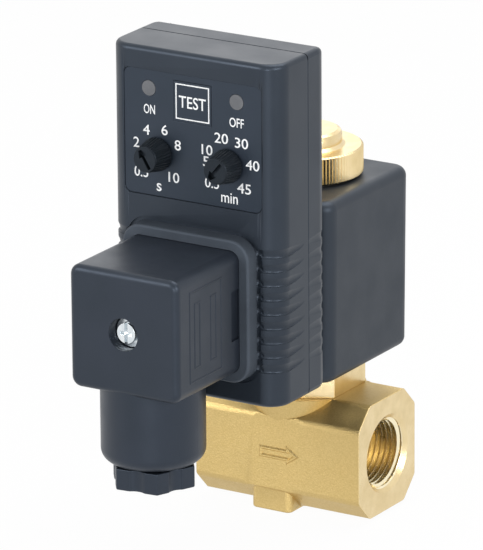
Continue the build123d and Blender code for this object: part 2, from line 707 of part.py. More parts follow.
def screw_head_tool(x, z):
    y0 = TIMER_BACK_Y - POST_SCREW_HEAD
    return rod(POST_SCREW_HEAD_RADIUS + SLIP, y0, TIMER_BACK_Y, x, z)


def cover_screws():
    tip = BOARD_FRONT_Y - POST_SCREW_REACH + 0.5
    screws = []
    for x, z in post_places():
        head = rod(POST_SCREW_HEAD_RADIUS, TIMER_BACK_Y - POST_SCREW_HEAD, TIMER_BACK_Y - 0.1, x, z)
        shank = rod(POST_SCREW_RADIUS, tip, TIMER_BACK_Y - POST_SCREW_HEAD, x, z)
        screws.append(head + shank)
    return Compound(children=screws)


# ---------------------------------------------------------------- front panel
def front_label():
    wide = LABEL_WIDTH - 2 * LABEL_EDGE_GAP
    tall = LABEL_HEIGHT - 2 * LABEL_EDGE_GAP
    sheet = face_plate(wide, tall, LABEL_CORNER, LABEL_Y, LABEL_FLOOR_Y, 0, LABEL_Z)
    return cut(sheet, panel_holes(LABEL_FLOOR_Y))


def indicator_windows():
    return Compound(children=[
        rod(WINDOW_RADIUS - SLIP, LABEL_Y, LABEL_FLOOR_Y + 0.8, x, z) for x, z in window_places()
    ])


def knob(x, z, rest):
    """A setting knob that points straight up, turned clockwise to its rest angle."""
    foot_y = LABEL_Y - KNOB_LIFT
    front_y = LABEL_Y - KNOB_REACH
    cap = Pos(0, (foot_y + front_y) / 2, 0) * Rot(90, 0, 0) * Cone(
        KNOB_FOOT_RADIUS, KNOB_FRONT_RADIUS, foot_y - front_y
    )
    shaft = rod(KNOB_SHAFT_RADIUS, foot_y, pot_front() - SHOULDER_GAP)
    stem = rod(KNOB_STEM_RADIUS, foot_y, pot_front() + KNOB_STEM_LENGTH)
    turned = join(cap, shaft, stem) - pointer_slot(front_y)
    return Pos(x, 0, z) * Rot(0, rest, 0) * turned


def pointer_slot(front_y):
    """A screwdriver slot whose upper end is an arrow head."""
    half = KNOB_SLOT_WIDTH / 2
    reach = KNOB_FRONT_RADIUS - 0.4
    slot = Rectangle(KNOB_SLOT_WIDTH, 2 * reach)
    head = make_face(Polyline((-KNOB_ARROW / 2, reach - 1.6), (KNOB_ARROW / 2, reach - 1.6),
                              (half, reach), (-half, reach), close=True))
    plane = Plane((0, front_y + KNOB_SLOT_DEPTH, 0), x_dir=(1, 0, 0), z_dir=(0, -1, 0))
    return extrude(plane * (slot + head), KNOB_SLOT_DEPTH)


def pot_front():
    return BOARD_FRONT_Y - POT_DEPTH


def test_button():
    cap = key_block(LABEL_Y, FRONT_WALL_Y + 1)
    flange_y = FRONT_WALL_Y + SHOULDER_GAP
    flange = key_block(flange_y, flange_y + KEY_FLANGE, KEY_FLANGE_WIDTH)
    stem_y = BOARD_FRONT_Y - SWITCH_DEPTH - KEY_TRAVEL - SHOULDER_GAP
    stem = rod(KEY_STEM / 2, flange_y, stem_y, 0, KEY_Z)
    return join(cap, flange, stem)


# ---------------------------------------------------------------- timer inside
def circuit_board():
    inset = TIMER_WALL + BOARD_EDGE_GAP
    width = TIMER_WIDTH - 2 * inset
    low = TIMER_BOTTOM + inset
    high = TIMER_TOP - inset
    board = block(-width / 2, width / 2, BOARD_FRONT_Y, BOARD_REAR_Y, low, high)
    holes = [rod(POST_SCREW_RADIUS + SLIP, BOARD_FRONT_Y, BOARD_REAR_Y, x, z) for x, z in post_places()]
    way = rod(SCREW_RADIUS + SCREW_HOLE, BOARD_FRONT_Y, BOARD_REAR_Y, 0, PLUG_Z)
    return cut(board, holes, way)


def setting_pot(x, z):
    half = POT_SIZE / 2
    case = block(x - half, x + half, pot_front(), BOARD_FRONT_Y, z - half, z + half)
    case = chamfer(case.edges().group_by(Axis.Y)[0], 0.5)
    bore_end = pot_front() + KNOB_STEM_LENGTH + 0.3
    return case - rod(KNOB_STEM_RADIUS + RUNNING, pot_front(), bore_end, x, z)


def setting_pots():
    return Compound(children=[setting_pot(x, z) for x, z in knob_places()])


def test_switch():
    half = SWITCH_SIZE / 2
    can = block(-half, half, BOARD_FRONT_Y - SWITCH_DEPTH + 1.2, BOARD_FRONT_Y, KEY_Z - half, KEY_Z + half)
    return can + rod(1.6, BOARD_FRONT_Y - SWITCH_DEPTH, BOARD_FRONT_Y - SWITCH_DEPTH + 1.3, 0, KEY_Z)


def indicator_lamp(x, z):
    tip = LABEL_FLOOR_Y + 1.0 + LED_RADIUS
    lamp = rod(LED_RADIUS, tip, BOARD_FRONT_Y, x, z)
    return lamp + Pos(x, tip, z) * Sphere(LED_RADIUS)


def filter_capacitor():
    z0 = PLUG_Z + 9.0
    y = BOARD_FRONT_Y - CAPACITOR_RADIUS
    can = post(CAPACITOR_RADIUS, z0, z0 + CAPACITOR_LENGTH, CAPACITOR_X, y)
    return fillet(can.edges().filter_by(GeomType.CIRCLE), 0.6)


def coil_driver():
    x = 9.0
    z = LABEL_Z
    return block(x - DRIVER_WIDTH / 2, x + DRIVER_WIDTH / 2, BOARD_REAR_Y,
                 BOARD_REAR_Y + DRIVER_DEPTH, z - DRIVER_HEIGHT / 2, z + DRIVER_HEIGHT / 2)


def timer_sockets():
    """Female clips on the board that take the coil's blades."""
    y0 = BOARD_REAR_Y
    y1 = BACK_WALL_Y - 0.2
    clips = []
    for x, z, w, h in blade_places():
        grow = BLADE_GAP / 2
        outer = grow + CLIP_WALL
        clip = block(x - w / 2 - outer, x + w / 2 + outer, y0, y1, z - h / 2 - outer, z + h / 2 + outer)
        slot = block(x - w / 2 - grow, x + w / 2 + grow, y0 + 0.6, y1, z - h / 2 - grow, z + h / 2 + grow)
        clips.append(clip - slot)
    return Compound(children=clips)


def timer_pins():
    return Compound(children=blades(PLUG_BACK_Y - BLADE_REACH, BOARD_FRONT_Y))


# ---------------------------------------------------------------- connector
def connector_frame():
    wide = PLUG_WIDTH + 2 * FRAME_SIDE
    tall = PLUG_TALL + 2 * FRAME_SIDE
    front = TIMER_FRONT_Y - FRAME_RISE
    frame = face_plate(wide, tall, FRAME_CORNER, front, TIMER_FRONT_Y, 0, PLUG_Z)
    frame = fillet(frame.edges().group_by(Axis.Y)[0], FRAME_ROUND)
    socket = face_plate(
        PLUG_WIDTH + 2 * FRAME_FIT, PLUG_TALL + 2 * FRAME_FIT, PLUG_CORNER + FRAME_FIT,
        front, PLUG_BACK_Y, 0, PLUG_Z,
    )
    window = face_plate(
        PLUG_WIDTH - 2 * FRAME_LAND, PLUG_TALL - 2 * FRAME_LAND, PLUG_CORNER,
        PLUG_BACK_Y, TIMER_FRONT_Y, 0, PLUG_Z,
    )
    return cut(frame, socket, window)


def connector_housing():
    case = face_plate(PLUG_WIDTH, PLUG_TALL, PLUG_CORNER, PLUG_FRONT_Y, PLUG_BACK_Y, 0, PLUG_Z)
    case = fillet(case.edges().group_by(Axis.Y)[0], PLUG_EDGE)
    barrel = post(BARREL_RADIUS, BARREL_BOTTOM, PLUG_BOTTOM + 1, 0, BARREL_Y)
    barrel = fillet(barrel.edges().group_by(Axis.Z)[0], BARREL_EDGE)
    room = plan_block(
        PLUG_WIDTH - 2 * PLUG_WALL, PLUG_FRONT_Y + PLUG_FRONT_WALL, PLUG_BACK_Y,
        PLUG_BOTTOM + PLUG_WALL, PLUG_BOTTOM + PLUG_TALL - PLUG_WALL,
    )
    bore_top = BARREL_BOTTOM + BARREL_BORE_DEPTH
    bore = post(BARREL_BORE, BARREL_BOTTOM, bore_top, 0, BARREL_Y)
    throat = post(CABLE_THROAT, bore_top, PLUG_BOTTOM + PLUG_WALL, 0, BARREL_Y)
    well = rod(PLUG_SCREW_WELL, PLUG_FRONT_Y, SCREW_SEAT_Y, 0, PLUG_Z)
    way = rod(SCREW_RADIUS + SCREW_HOLE, SCREW_SEAT_Y, PLUG_FRONT_Y + PLUG_FRONT_WALL, 0, PLUG_Z)
    return cut(case + barrel, room, bore, throat, well, way, side_notches())


def side_notches():
    y1 = PLUG_BACK_Y - NOTCH_BACK
    edge = PLUG_WIDTH / 2
    half = NOTCH_HEIGHT / 2
    return [
        block(min(s * edge, s * (edge - NOTCH_DEPTH)), max(s * edge, s * (edge - NOTCH_DEPTH)),
              y1 - NOTCH_WIDTH, y1, PLUG_Z - half, PLUG_Z + half)
        for s in (-1, 1)
    ]


def connector_insert():
    wide = PLUG_WIDTH - 2 * PLUG_WALL - 2 * INSERT_GAP
    tall = PLUG_TALL - 2 * PLUG_WALL - 2 * INSERT_GAP
    core = block(-wide / 2, wide / 2, INSERT_FRONT_Y, PLUG_BACK_Y, PLUG_Z - tall / 2, PLUG_Z + tall / 2)
    way = rod(SCREW_RADIUS + SCREW_HOLE, INSERT_FRONT_Y, PLUG_BACK_Y, 0, PLUG_Z)
    slots = blades(INSERT_FRONT_Y, PLUG_BACK_Y, BLADE_GAP)
    return cut(core, way, slots, clamp_blocks(0.0), clamp_screw_tools(SLIP, 1.0))


def clamp_blocks(shrink):
    """The outer blocks of the wire clamps round each blade."""
    y1 = PLUG_BACK_Y - 2.0
    y0 = y1 - CLAMP_LENGTH
    parts = []
    for x, z, w, h in blade_places():
        g = BLADE_GAP + CLAMP_WALL - shrink
        parts.append(block(x - w / 2 - g, x + w / 2 + g, y0, y1, z - h / 2 - g, z + h / 2 + g))
    return parts


def terminal_clamps():
    slots = blades(INSERT_FRONT_Y, PLUG_BACK_Y, BLADE_GAP / 2)
    clamps = [block_part - slot for block_part, slot in zip(clamp_blocks(SLIP), slots)]
    return Compound(children=[cut(c, clamp_screw_tools(SLIP, 0.5)) for c in clamps])


def clamp_screw_tools(grow, extra):
    """Wire clamp screws, which run front to back ahead of each clamp."""
    y1 = PLUG_BACK_Y - 2.0 - CLAMP_LENGTH
    return [
        rod(CLAMP_SCREW_RADIUS + grow, y1 - CLAMP_SCREW_LENGTH - extra, y1, x, z)
        for x, z, w, h in blade_places()
    ]


def terminal_screws():
    return Compound(children=clamp_screw_tools(0.0, 0.0))


def centre_screw():
    head = rod(SCREW_HEAD_RADIUS, SCREW_SEAT_Y - WASHER - SCREW_HEAD, SCREW_SEAT_Y - WASHER, 0, PLUG_Z)
    shank = rod(SCREW_RADIUS, SCREW_SEAT_Y - WASHER, SCREW_TIP_Y, 0, PLUG_Z)
    drive_y = SCREW_SEAT_Y - WASHER - SCREW_HEAD
    recess_y = drive_y + SCREW_RECESS
    half = SCREW_SLOT / 2
    reach = SCREW_HEAD_RADIUS
    slot = block(-half, half, drive_y, recess_y, PLUG_Z - reach, PLUG_Z + reach)
    cross = block(-SCREW_CROSS / 2, SCREW_CROSS / 2, drive_y, recess_y, PLUG_Z - half, PLUG_Z + half)
    return cut(head + shank, slot, cross)


def screw_washer():
    outer = rod(PLUG_SCREW_WELL - 0.25, SCREW_SEAT_Y - WASHER, SCREW_SEAT_Y, 0, PLUG_Z)
    return outer - rod(SCREW_RADIUS + SLIP, SCREW_SEAT_Y - WASHER, SCREW_SEAT_Y, 0, PLUG_Z)


def grommet_bottom():
    return BARREL_BOTTOM + GLAND_GRIP + GLAND_WASHER


def gland_grommet():
    low = grommet_bottom()
    return ring(BARREL_BORE - SLIP, GROMMET_BORE, low, low + GROMMET_LENGTH, 0, BARREL_Y)


def gland_washer():
    low = BARREL_BOTTOM + GLAND_GRIP
    return ring(BARREL_BORE - 2 * SLIP, GLAND_BORE, low, low + GLAND_WASHER, 0, BARREL_Y)


def gland_nut():
    """A moulded hexagon nut with a hollow in each flat, on its threaded spigot."""
    top = BARREL_BOTTOM - GLAND_GAP
    bottom = top - GLAND_HEX
    middle = Pos(0, BARREL_Y) * Rot(0, 0, GLAND_TURN)
    hexagon = RegularPolygon(GLAND_FLATS / 2, 6, major_radius=False)
    head = extrude(Pos(0, 0, bottom) * middle * hexagon, GLAND_HEX)
    reach = GLAND_FLATS / 2 + GLAND_HOLLOW_RADIUS - GLAND_HOLLOW
    hollow = post(GLAND_HOLLOW_RADIUS, bottom, top, reach)
    hollows = [middle * Rot(0, 0, 30 + 60 * i) * hollow for i in range(6)]
    spigot = post(BARREL_BORE - SLIP, top, BARREL_BOTTOM + GLAND_GRIP, 0, BARREL_Y)
    bore = post(GLAND_BORE, bottom, BARREL_BOTTOM + GLAND_GRIP, 0, BARREL_Y)
    return cut(head, hollows) + spigot - bore


# ---------------------------------------------------------------- write the parts
def all_parts():
    left, right = knob_places()
    lamp_left, lamp_right = window_places()
    return {
        "valve_body": valve_body(),
        "stem_base_nut": stem_base_nut(),
        "guide_tube": guide_tube(),
        "tube_o_ring": tube_o_ring(),
        "fixed_core": fixed_core(),
        "shading_ring": shading_ring(),
        "plunger": plunger(),
        "plunger_seal": plunger_seal(),
        "return_spring": return_spring(),
        "coil_housing": coil_housing(),
        "coil_yoke": coil_yoke(),
        "coil_bobbin": coil_bobbin(),
        "coil_winding": coil_winding(),
        "coil_terminals": coil_terminals(),
        "coil_gasket": coil_gasket(),
        "nut_washer": nut_washer(),
        "knurled_nut": knurled_nut(),
        "timer_front_housing": timer_front_housing(),
        "timer_rear_cover": timer_rear_cover(),
        "cover_screws": cover_screws(),
        "front_label": front_label(),
        "indicator_windows": indicator_windows(),
        "on_time_knob": knob(*left, ON_TIME_REST),
        "off_time_knob": knob(*right, OFF_TIME_REST),
        "test_button": test_button(),
        "circuit_board": circuit_board(),
        "setting_pots": setting_pots(),
        "test_switch": test_switch(),
        "on_lamp": indicator_lamp(*lamp_left),
        "off_lamp": indicator_lamp(*lamp_right),
        "filter_capacitor": filter_capacitor(),
        "coil_driver": coil_driver(),
        "timer_sockets": timer_sockets(),
        "timer_pins": timer_pins(),
        "connector_frame": connector_frame(),
        "connector_housing": connector_housing(),
        "connector_insert": connector_insert(),
        "terminal_clamps": terminal_clamps(),
        "terminal_screws": terminal_screws(),
        "centre_screw": centre_screw(),
        "screw_washer": screw_washer(),
        "gland_grommet": gland_grommet(),
        "gland_washer": gland_washer(),
        "gland_nut": gland_nut(),
    }


os.makedirs("parts", exist_ok=True)
for node, shape in all_parts().items():
    export_step(shape, f"parts/{node}.step")
    print(f"{node}: {len(shape.solids())} solid(s), {shape.volume:.1f} mm3")
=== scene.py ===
# %% [markdown]
# # An automatic drain valve
#
# A brass valve body carries a solenoid coil on a stem. A timer plugs onto the coil's
# front, and a square cable plug goes on the front of the timer. The CAD model gives
# every solid its true place, so the work here is finishes, soft edges and the small
# detail that CAD leaves out: threads, knurls, print and moulded relief.

# %% Load the frame
import json
import math

import bmesh
import bpy
from mathutils import Matrix, Vector


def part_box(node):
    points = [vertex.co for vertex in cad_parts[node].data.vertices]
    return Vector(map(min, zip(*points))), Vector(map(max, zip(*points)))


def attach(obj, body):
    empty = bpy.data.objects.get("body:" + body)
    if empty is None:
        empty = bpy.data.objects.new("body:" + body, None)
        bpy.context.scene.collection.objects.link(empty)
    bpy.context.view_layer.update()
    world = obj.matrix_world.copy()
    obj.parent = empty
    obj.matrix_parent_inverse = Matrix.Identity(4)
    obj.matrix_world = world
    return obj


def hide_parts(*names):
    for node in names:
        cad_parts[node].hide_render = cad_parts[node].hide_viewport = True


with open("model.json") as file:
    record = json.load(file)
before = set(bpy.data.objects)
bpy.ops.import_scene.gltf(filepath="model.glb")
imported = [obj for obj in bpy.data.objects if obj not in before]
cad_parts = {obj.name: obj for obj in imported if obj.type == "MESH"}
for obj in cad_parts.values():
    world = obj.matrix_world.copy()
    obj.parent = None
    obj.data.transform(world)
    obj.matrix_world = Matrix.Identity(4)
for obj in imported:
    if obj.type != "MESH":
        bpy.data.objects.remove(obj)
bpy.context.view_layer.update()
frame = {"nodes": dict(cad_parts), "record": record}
nodes = frame["nodes"]
mm = 0.001

# %% [markdown]
# ## Camera
#
# The product is seen from the front right and a little above, through a long lens, so
# its upright edges stay nearly parallel. The camera's axes are written as a matrix,
# because a slight roll is easier to give that way than with Euler angles.

# %% Camera
AZIMUTH = math.radians(31.63)
ELEVATION = math.radians(17.82)
ROLL = math.radians(-0.43)
DISTANCE = 1470.8 * mm
LENS = 477.1
AIM_X = -16.94 * mm
AIM_ABOVE_COIL_BOTTOM = 15.64 * mm

coil_low, coil_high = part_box("coil_housing")
aim = Vector((AIM_X, 0, coil_low.z + AIM_ABOVE_COIL_BOTTOM))
back = Vector((
    math.sin(AZIMUTH) * math.cos(ELEVATION),
    -math.cos(AZIMUTH) * math.cos(ELEVATION),
    math.sin(ELEVATION),
))
level = Vector((0, 0, 1)).cross(back).normalized()
upright = back.cross(level)
right = level * math.cos(ROLL) + upright * math.sin(ROLL)
up = back.cross(right)

camera_data = bpy.data.cameras.new("camera")
camera_data.sensor_fit = "HORIZONTAL"
camera_data.sensor_width = 36
camera_data.lens = LENS
camera_data.clip_end = 20
camera = bpy.data.objects.new("camera", camera_data)
bpy.context.scene.collection.objects.link(camera)
facing = Matrix((right, up, back)).transposed().to_4x4()
camera.matrix_world = Matrix.Translation(aim + back * DISTANCE) @ facing
bpy.context.scene.camera = camera
bpy.context.scene.view_settings.view_transform = "Standard"
print("camera at", tuple(round(v, 3) for v in camera.location))

# %% [markdown]
# ## Studio
#
# Black plastic shows only what it mirrors, so the light comes from large soft panels:
# one overhead, one behind that the top faces mirror, one at the front left, a small low
# one near the viewer and one at the right. The floor and the world look white to the
# camera and in reflections, but light the object much less.

# %% World and floor
AMBIENT = 0.34
FLOOR_GLOW = 0.96
FLOOR_HALF = 3.0


def seen_rays(tree):
    """One where the ray comes from the camera, a mirror reflection or clear glass."""
    light_path = tree.nodes.new("ShaderNodeLightPath")
    total = light_path.outputs["Is Camera Ray"]
    for name in ("Is Glossy Ray", "Is Transmission Ray"):
        maximum = tree.nodes.new("ShaderNodeMath")
        maximum.operation = "MAXIMUM"
        tree.links.new(total, maximum.inputs[0])
        tree.links.new(light_path.outputs[name], maximum.inputs[1])
        total = maximum.outputs[0]
    return total


world = bpy.data.worlds.new("studio")
world.use_nodes = True
bpy.context.scene.world = world
sky = world.node_tree.nodes["Background"]
sky.inputs["Color"].default_value = (1, 1, 1, 1)
sky_level = world.node_tree.nodes.new("ShaderNodeMapRange")
sky_level.inputs["To Min"].default_value = AMBIENT
sky_level.inputs["To Max"].default_value = 1.0
world.node_tree.links.new(seen_rays(world.node_tree), sky_level.inputs["Value"])
world.node_tree.links.new(sky_level.outputs["Result"], sky.inputs["Strength"])

floor_mesh = bmesh.new()
bmesh.ops.create_grid(floor_mesh, x_segments=1, y_segments=1, size=FLOOR_HALF)
floor_data = bpy.data.meshes.new("floor")
floor_mesh.to_mesh(floor_data)
floor_mesh.free()
floor = bpy.data.objects.new("floor", floor_data)
bpy.context.scene.collection.objects.link(floor)
floor_paint = bpy.data.materials.new("floor_paint")
floor_paint.use_nodes = True
tree = floor_paint.node_tree
tree.nodes["Principled BSDF"].inputs["Base Color"].default_value = (0.9, 0.9, 0.9, 1)
tree.nodes["Principled BSDF"].inputs["Roughness"].default_value = 0.9
glow = tree.nodes.new("ShaderNodeEmission")
glow.inputs["Color"].default_value = (1, 1, 1, 1)
blend = tree.nodes.new("ShaderNodeMixShader")
share = tree.nodes.new("ShaderNodeMath")
share.operation = "MULTIPLY"
share.inputs[1].default_value = FLOOR_GLOW
tree.links.new(seen_rays(tree), share.inputs[0])
tree.links.new(share.outputs[0], blend.inputs[0])
tree.links.new(tree.nodes["Principled BSDF"].outputs[0], blend.inputs[1])
tree.links.new(glow.outputs[0], blend.inputs[2])
tree.links.new(blend.outputs[0], tree.nodes["Material Output"].inputs["Surface"])
floor_data.materials.append(floor_paint)
print("world and floor made")

# %% Soft panels


def soft_panel(name, direction, distance, size, power):
    """A square area light that faces the middle of the object."""
    data = bpy.data.lights.new(name, "AREA")
    data.size = size
    data.energy = power
    lamp = bpy.data.objects.new(name, data)
    bpy.context.scene.collection.objects.link(lamp)
    away = Vector(direction).normalized()
    lamp.location = aim + away * distance
    lamp.rotation_euler = away.to_track_quat("Z", "Y").to_euler()


soft_panel("panel_top", (0.15, 0.25, 1.0), 0.7, 0.55, 2.8)
soft_panel("panel_left", (-0.55, -1.0, 0.45), 0.9, 0.45, 3.0)
soft_panel("panel_back", (-0.45, 0.9, 0.5), 1.0, 0.6, 0.7)
soft_panel("panel_front", (0.42, -0.90, 0.09), 1.0, 0.2, 2.2)
soft_panel("panel_right", (1.0, -0.42, 0.36), 0.9, 0.4, 3.0)

# %% [markdown]
# ## Finishes
#
# Every finish is one Principled shader with noise on Object coordinates: a slow noise
# shifts the colour and the gloss a little, and a fine one raises the grain through a
# Bump node. Object coordinates are in metres here, so a grain of a third of a
# millimetre needs a noise scale of about three thousand.

# %% A finish with grain
NOISE_SPAN = (0.3, 0.7)  # most of a noise's values lie between these


def finish(name, colour, roughness, metallic=0.0, specular=0.5, tint=(1, 1, 1)):
    """A Principled material with plain values on its own sockets."""
    material = bpy.data.materials.new(name)
    material.use_nodes = True
    shader = material.node_tree.nodes["Principled BSDF"]
    shader.inputs["Base Color"].default_value = (*colour, 1)
    shader.inputs["Roughness"].default_value = roughness
    shader.inputs["Metallic"].default_value = metallic
    shader.inputs["Specular IOR Level"].default_value = specular
    shader.inputs["Specular Tint"].default_value = (*tint, 1)
    return material


def object_noise(material, size, detail=3.0, stretch=(1, 1, 1)):
    """Noise whose blotches are about size metres across, stretched along an axis."""
    tree = material.node_tree
    place = tree.nodes.new("ShaderNodeTexCoord")
    mapping = tree.nodes.new("ShaderNodeMapping")
    mapping.inputs["Scale"].default_value = tuple(1.0 / s for s in stretch)
    noise = tree.nodes.new("ShaderNodeTexNoise")
    noise.inputs["Scale"].default_value = 1.0 / size
    noise.inputs["Detail"].default_value = detail
    tree.links.new(place.outputs["Object"], mapping.inputs["Vector"])
    tree.links.new(mapping.outputs["Vector"], noise.inputs["Vector"])
    return noise.outputs["Fac"]


def add_grain(material, size, height, stretch=(1, 1, 1)):
    """Fine relief in the surface."""
    tree = material.node_tree
    bump = tree.nodes.new("ShaderNodeBump")
    bump.inputs["Strength"].default_value = 1.0
    bump.inputs["Distance"].default_value = height
    tree.links.new(object_noise(material, size, 2.0, stretch), bump.inputs["Height"])
    tree.links.new(bump.outputs["Normal"], tree.nodes["Principled BSDF"].inputs["Normal"])


def add_tone(material, size, dark, light, stretch=(1, 1, 1)):
    """A slow drift between two close colours."""
    tree = material.node_tree
    ramp = tree.nodes.new("ShaderNodeValToRGB")
    for stop, place, colour in zip(ramp.color_ramp.elements, NOISE_SPAN, (dark, light)):
        stop.position = place
        stop.color = (*colour, 1)
    tree.links.new(object_noise(material, size, 4.0, stretch), ramp.inputs["Fac"])
    tree.links.new(ramp.outputs["Color"], tree.nodes["Principled BSDF"].inputs["Base Color"])


def add_gloss_drift(material, size, low, high):
    """Roughness that wanders between two values, like handling marks."""
    tree = material.node_tree
    spread = tree.nodes.new("ShaderNodeMapRange")
    spread.inputs["From Min"].default_value = NOISE_SPAN[0]
    spread.inputs["From Max"].default_value = NOISE_SPAN[1]
    spread.inputs["To Min"].default_value = low
    spread.inputs["To Max"].default_value = high
    tree.links.new(object_noise(material, size), spread.inputs["Value"])
    tree.links.new(spread.outputs["Result"], tree.nodes["Principled BSDF"].inputs["Roughness"])


# %% [markdown]
# ### Metals
#
# The forging is sandblasted, which breaks its mirror into a soft golden sheen. The
# ends and the nuts are cut on a lathe, so they are paler and brighter.

# %% Metals
blasted_brass = finish("blasted_brass", (0.62, 0.46, 0.19), 0.46, 1.0)
add_tone(blasted_brass, 0.34 * mm, (0.575, 0.42, 0.165), (0.665, 0.495, 0.215))
add_grain(blasted_brass, 0.3 * mm, 0.09 * mm)
add_gloss_drift(blasted_brass, 5 * mm, 0.40, 0.50)

cut_brass = finish("cut_brass", (0.80, 0.64, 0.36), 0.26, 1.0)
add_tone(cut_brass, 4 * mm, (0.74, 0.58, 0.31), (0.84, 0.68, 0.40))
add_grain(cut_brass, 0.16 * mm, 0.008 * mm, (1, 1, 0.12))

# The thread's brass is a much paler copy of the cut brass. This is painted light: it makes up
# for the light that the deep bores hold back.
thread_brass_painted_lit = finish("thread_brass_painted_lit", (0.96, 0.86, 0.60), 0.2, 1.0)
add_tone(thread_brass_painted_lit, 1.5 * mm, (0.93, 0.82, 0.55), (0.98, 0.89, 0.65))
add_grain(thread_brass_painted_lit, 0.2 * mm, 0.01 * mm)

steel = finish("turned_steel", (0.60, 0.60, 0.59), 0.28, 1.0)
add_tone(steel, 3 * mm, (0.54, 0.54, 0.53), (0.66, 0.66, 0.65))
add_grain(steel, 0.12 * mm, 0.004 * mm, (8, 8, 1))

zinc = finish("bright_zinc", (0.72, 0.77, 0.80), 0.22, 1.0)
add_tone(zinc, 2 * mm, (0.66, 0.72, 0.76), (0.80, 0.84, 0.86))
add_grain(zinc, 0.3 * mm, 0.006 * mm)

tin = finish("tin_plate", (0.68, 0.67, 0.64), 0.34, 1.0)
add_tone(tin, 2 * mm, (0.62, 0.61, 0.58), (0.72, 0.71, 0.68))
add_grain(tin, 0.4 * mm, 0.004 * mm)

copper = finish("copper", (0.70, 0.34, 0.19), 0.3, 1.0)
add_tone(copper, 2 * mm, (0.62, 0.28, 0.15), (0.74, 0.38, 0.22))
add_grain(copper, 0.3 * mm, 0.02 * mm, (6, 6, 1))
print("metals made")

# %% [markdown]
# ### Plastics and rubber
#
# All the mouldings are black, yet no two look alike: the coil is the dullest, the
# timer has a satin skin, the label is a smooth film and the rubber is greyer.

# %% Plastics and rubber
COOL = (0.67, 0.80, 1.0)

coil_plastic = finish("coil_plastic", (0.014, 0.017, 0.022), 0.46, 0.0, 0.56, COOL)
add_tone(coil_plastic, 12 * mm, (0.012, 0.015, 0.019), (0.017, 0.020, 0.025))
add_grain(coil_plastic, 0.35 * mm, 0.02 * mm)
add_gloss_drift(coil_plastic, 8 * mm, 0.42, 0.52)

timer_plastic = finish("timer_plastic", (0.012, 0.015, 0.021), 0.36, 0.0, 0.54, COOL)
add_tone(timer_plastic, 14 * mm, (0.010, 0.013, 0.018), (0.014, 0.018, 0.024))
add_grain(timer_plastic, 0.3 * mm, 0.012 * mm)
add_gloss_drift(timer_plastic, 10 * mm, 0.33, 0.41)

plug_plastic = finish("plug_plastic", (0.011, 0.014, 0.020), 0.38, 0.0, 0.54, COOL)
add_tone(plug_plastic, 10 * mm, (0.010, 0.013, 0.018), (0.013, 0.016, 0.023))
add_grain(plug_plastic, 0.32 * mm, 0.015 * mm)
add_gloss_drift(plug_plastic, 7 * mm, 0.34, 0.44)

label_film = finish("label_film", (0.012, 0.017, 0.025), 0.38, 0.0, 0.54, COOL)
add_tone(label_film, 8 * mm, (0.011, 0.016, 0.023), (0.014, 0.019, 0.028))
add_grain(label_film, 0.15 * mm, 0.002 * mm)

knob_plastic = finish("knob_plastic", (0.006, 0.008, 0.010), 0.42, 0.0, 0.34, COOL)
add_tone(knob_plastic, 2 * mm, (0.005, 0.007, 0.009), (0.008, 0.010, 0.012))
add_grain(knob_plastic, 0.2 * mm, 0.006 * mm)

frame_rubber = finish("frame_rubber", (0.046, 0.055, 0.068), 0.56, 0.0, 0.42, COOL)
add_tone(frame_rubber, 5 * mm, (0.042, 0.050, 0.062), (0.050, 0.060, 0.074))
add_grain(frame_rubber, 0.25 * mm, 0.01 * mm)

seal_rubber = finish("seal_rubber", (0.02, 0.02, 0.02), 0.6, 0.0, 0.35)
add_tone(seal_rubber, 3 * mm, (0.017, 0.017, 0.017), (0.024, 0.024, 0.024))
add_grain(seal_rubber, 0.2 * mm, 0.008 * mm)

grey_lens = finish("grey_lens", (0.11, 0.115, 0.125), 0.3)
add_tone(grey_lens, 2 * mm, (0.095, 0.10, 0.11), (0.125, 0.13, 0.14))
add_grain(grey_lens, 0.3 * mm, 0.004 * mm)

white_print = finish("white_print", (0.80, 0.82, 0.83), 0.5)
add_tone(white_print, 1 * mm, (0.76, 0.78, 0.79), (0.84, 0.85, 0.86))
add_grain(white_print, 0.1 * mm, 0.002 * mm)

nylon = finish("natural_nylon", (0.56, 0.53, 0.46), 0.5)
add_tone(nylon, 5 * mm, (0.52, 0.49, 0.42), (0.60, 0.57, 0.50))
add_grain(nylon, 0.3 * mm, 0.01 * mm)

dark_nylon = finish("dark_nylon", (0.04, 0.04, 0.045), 0.45)
add_tone(dark_nylon, 4 * mm, (0.034, 0.034, 0.038), (0.046, 0.046, 0.052))
add_grain(dark_nylon, 0.3 * mm, 0.01 * mm)

laminate = finish("board_laminate", (0.03, 0.17, 0.06), 0.35)
add_tone(laminate, 4 * mm, (0.025, 0.15, 0.05), (0.035, 0.19, 0.07))
add_grain(laminate, 0.5 * mm, 0.005 * mm)

sleeve_film = finish("sleeve_film", (0.015, 0.025, 0.08), 0.3)
add_tone(sleeve_film, 3 * mm, (0.013, 0.022, 0.07), (0.018, 0.028, 0.09))
add_grain(sleeve_film, 0.4 * mm, 0.005 * mm)

clear_epoxy = finish("lamp_epoxy", (0.5, 0.5, 0.47), 0.2)
add_tone(clear_epoxy, 1 * mm, (0.46, 0.46, 0.43), (0.54, 0.54, 0.51))
add_grain(clear_epoxy, 0.4 * mm, 0.003 * mm)
print("plastics made")

# %% [markdown]
# ## Finishes on the CAD nodes
#
# The record names a finish slot for each node. A table turns slots into the materials
# above, so a node added later gets its look by its slot.

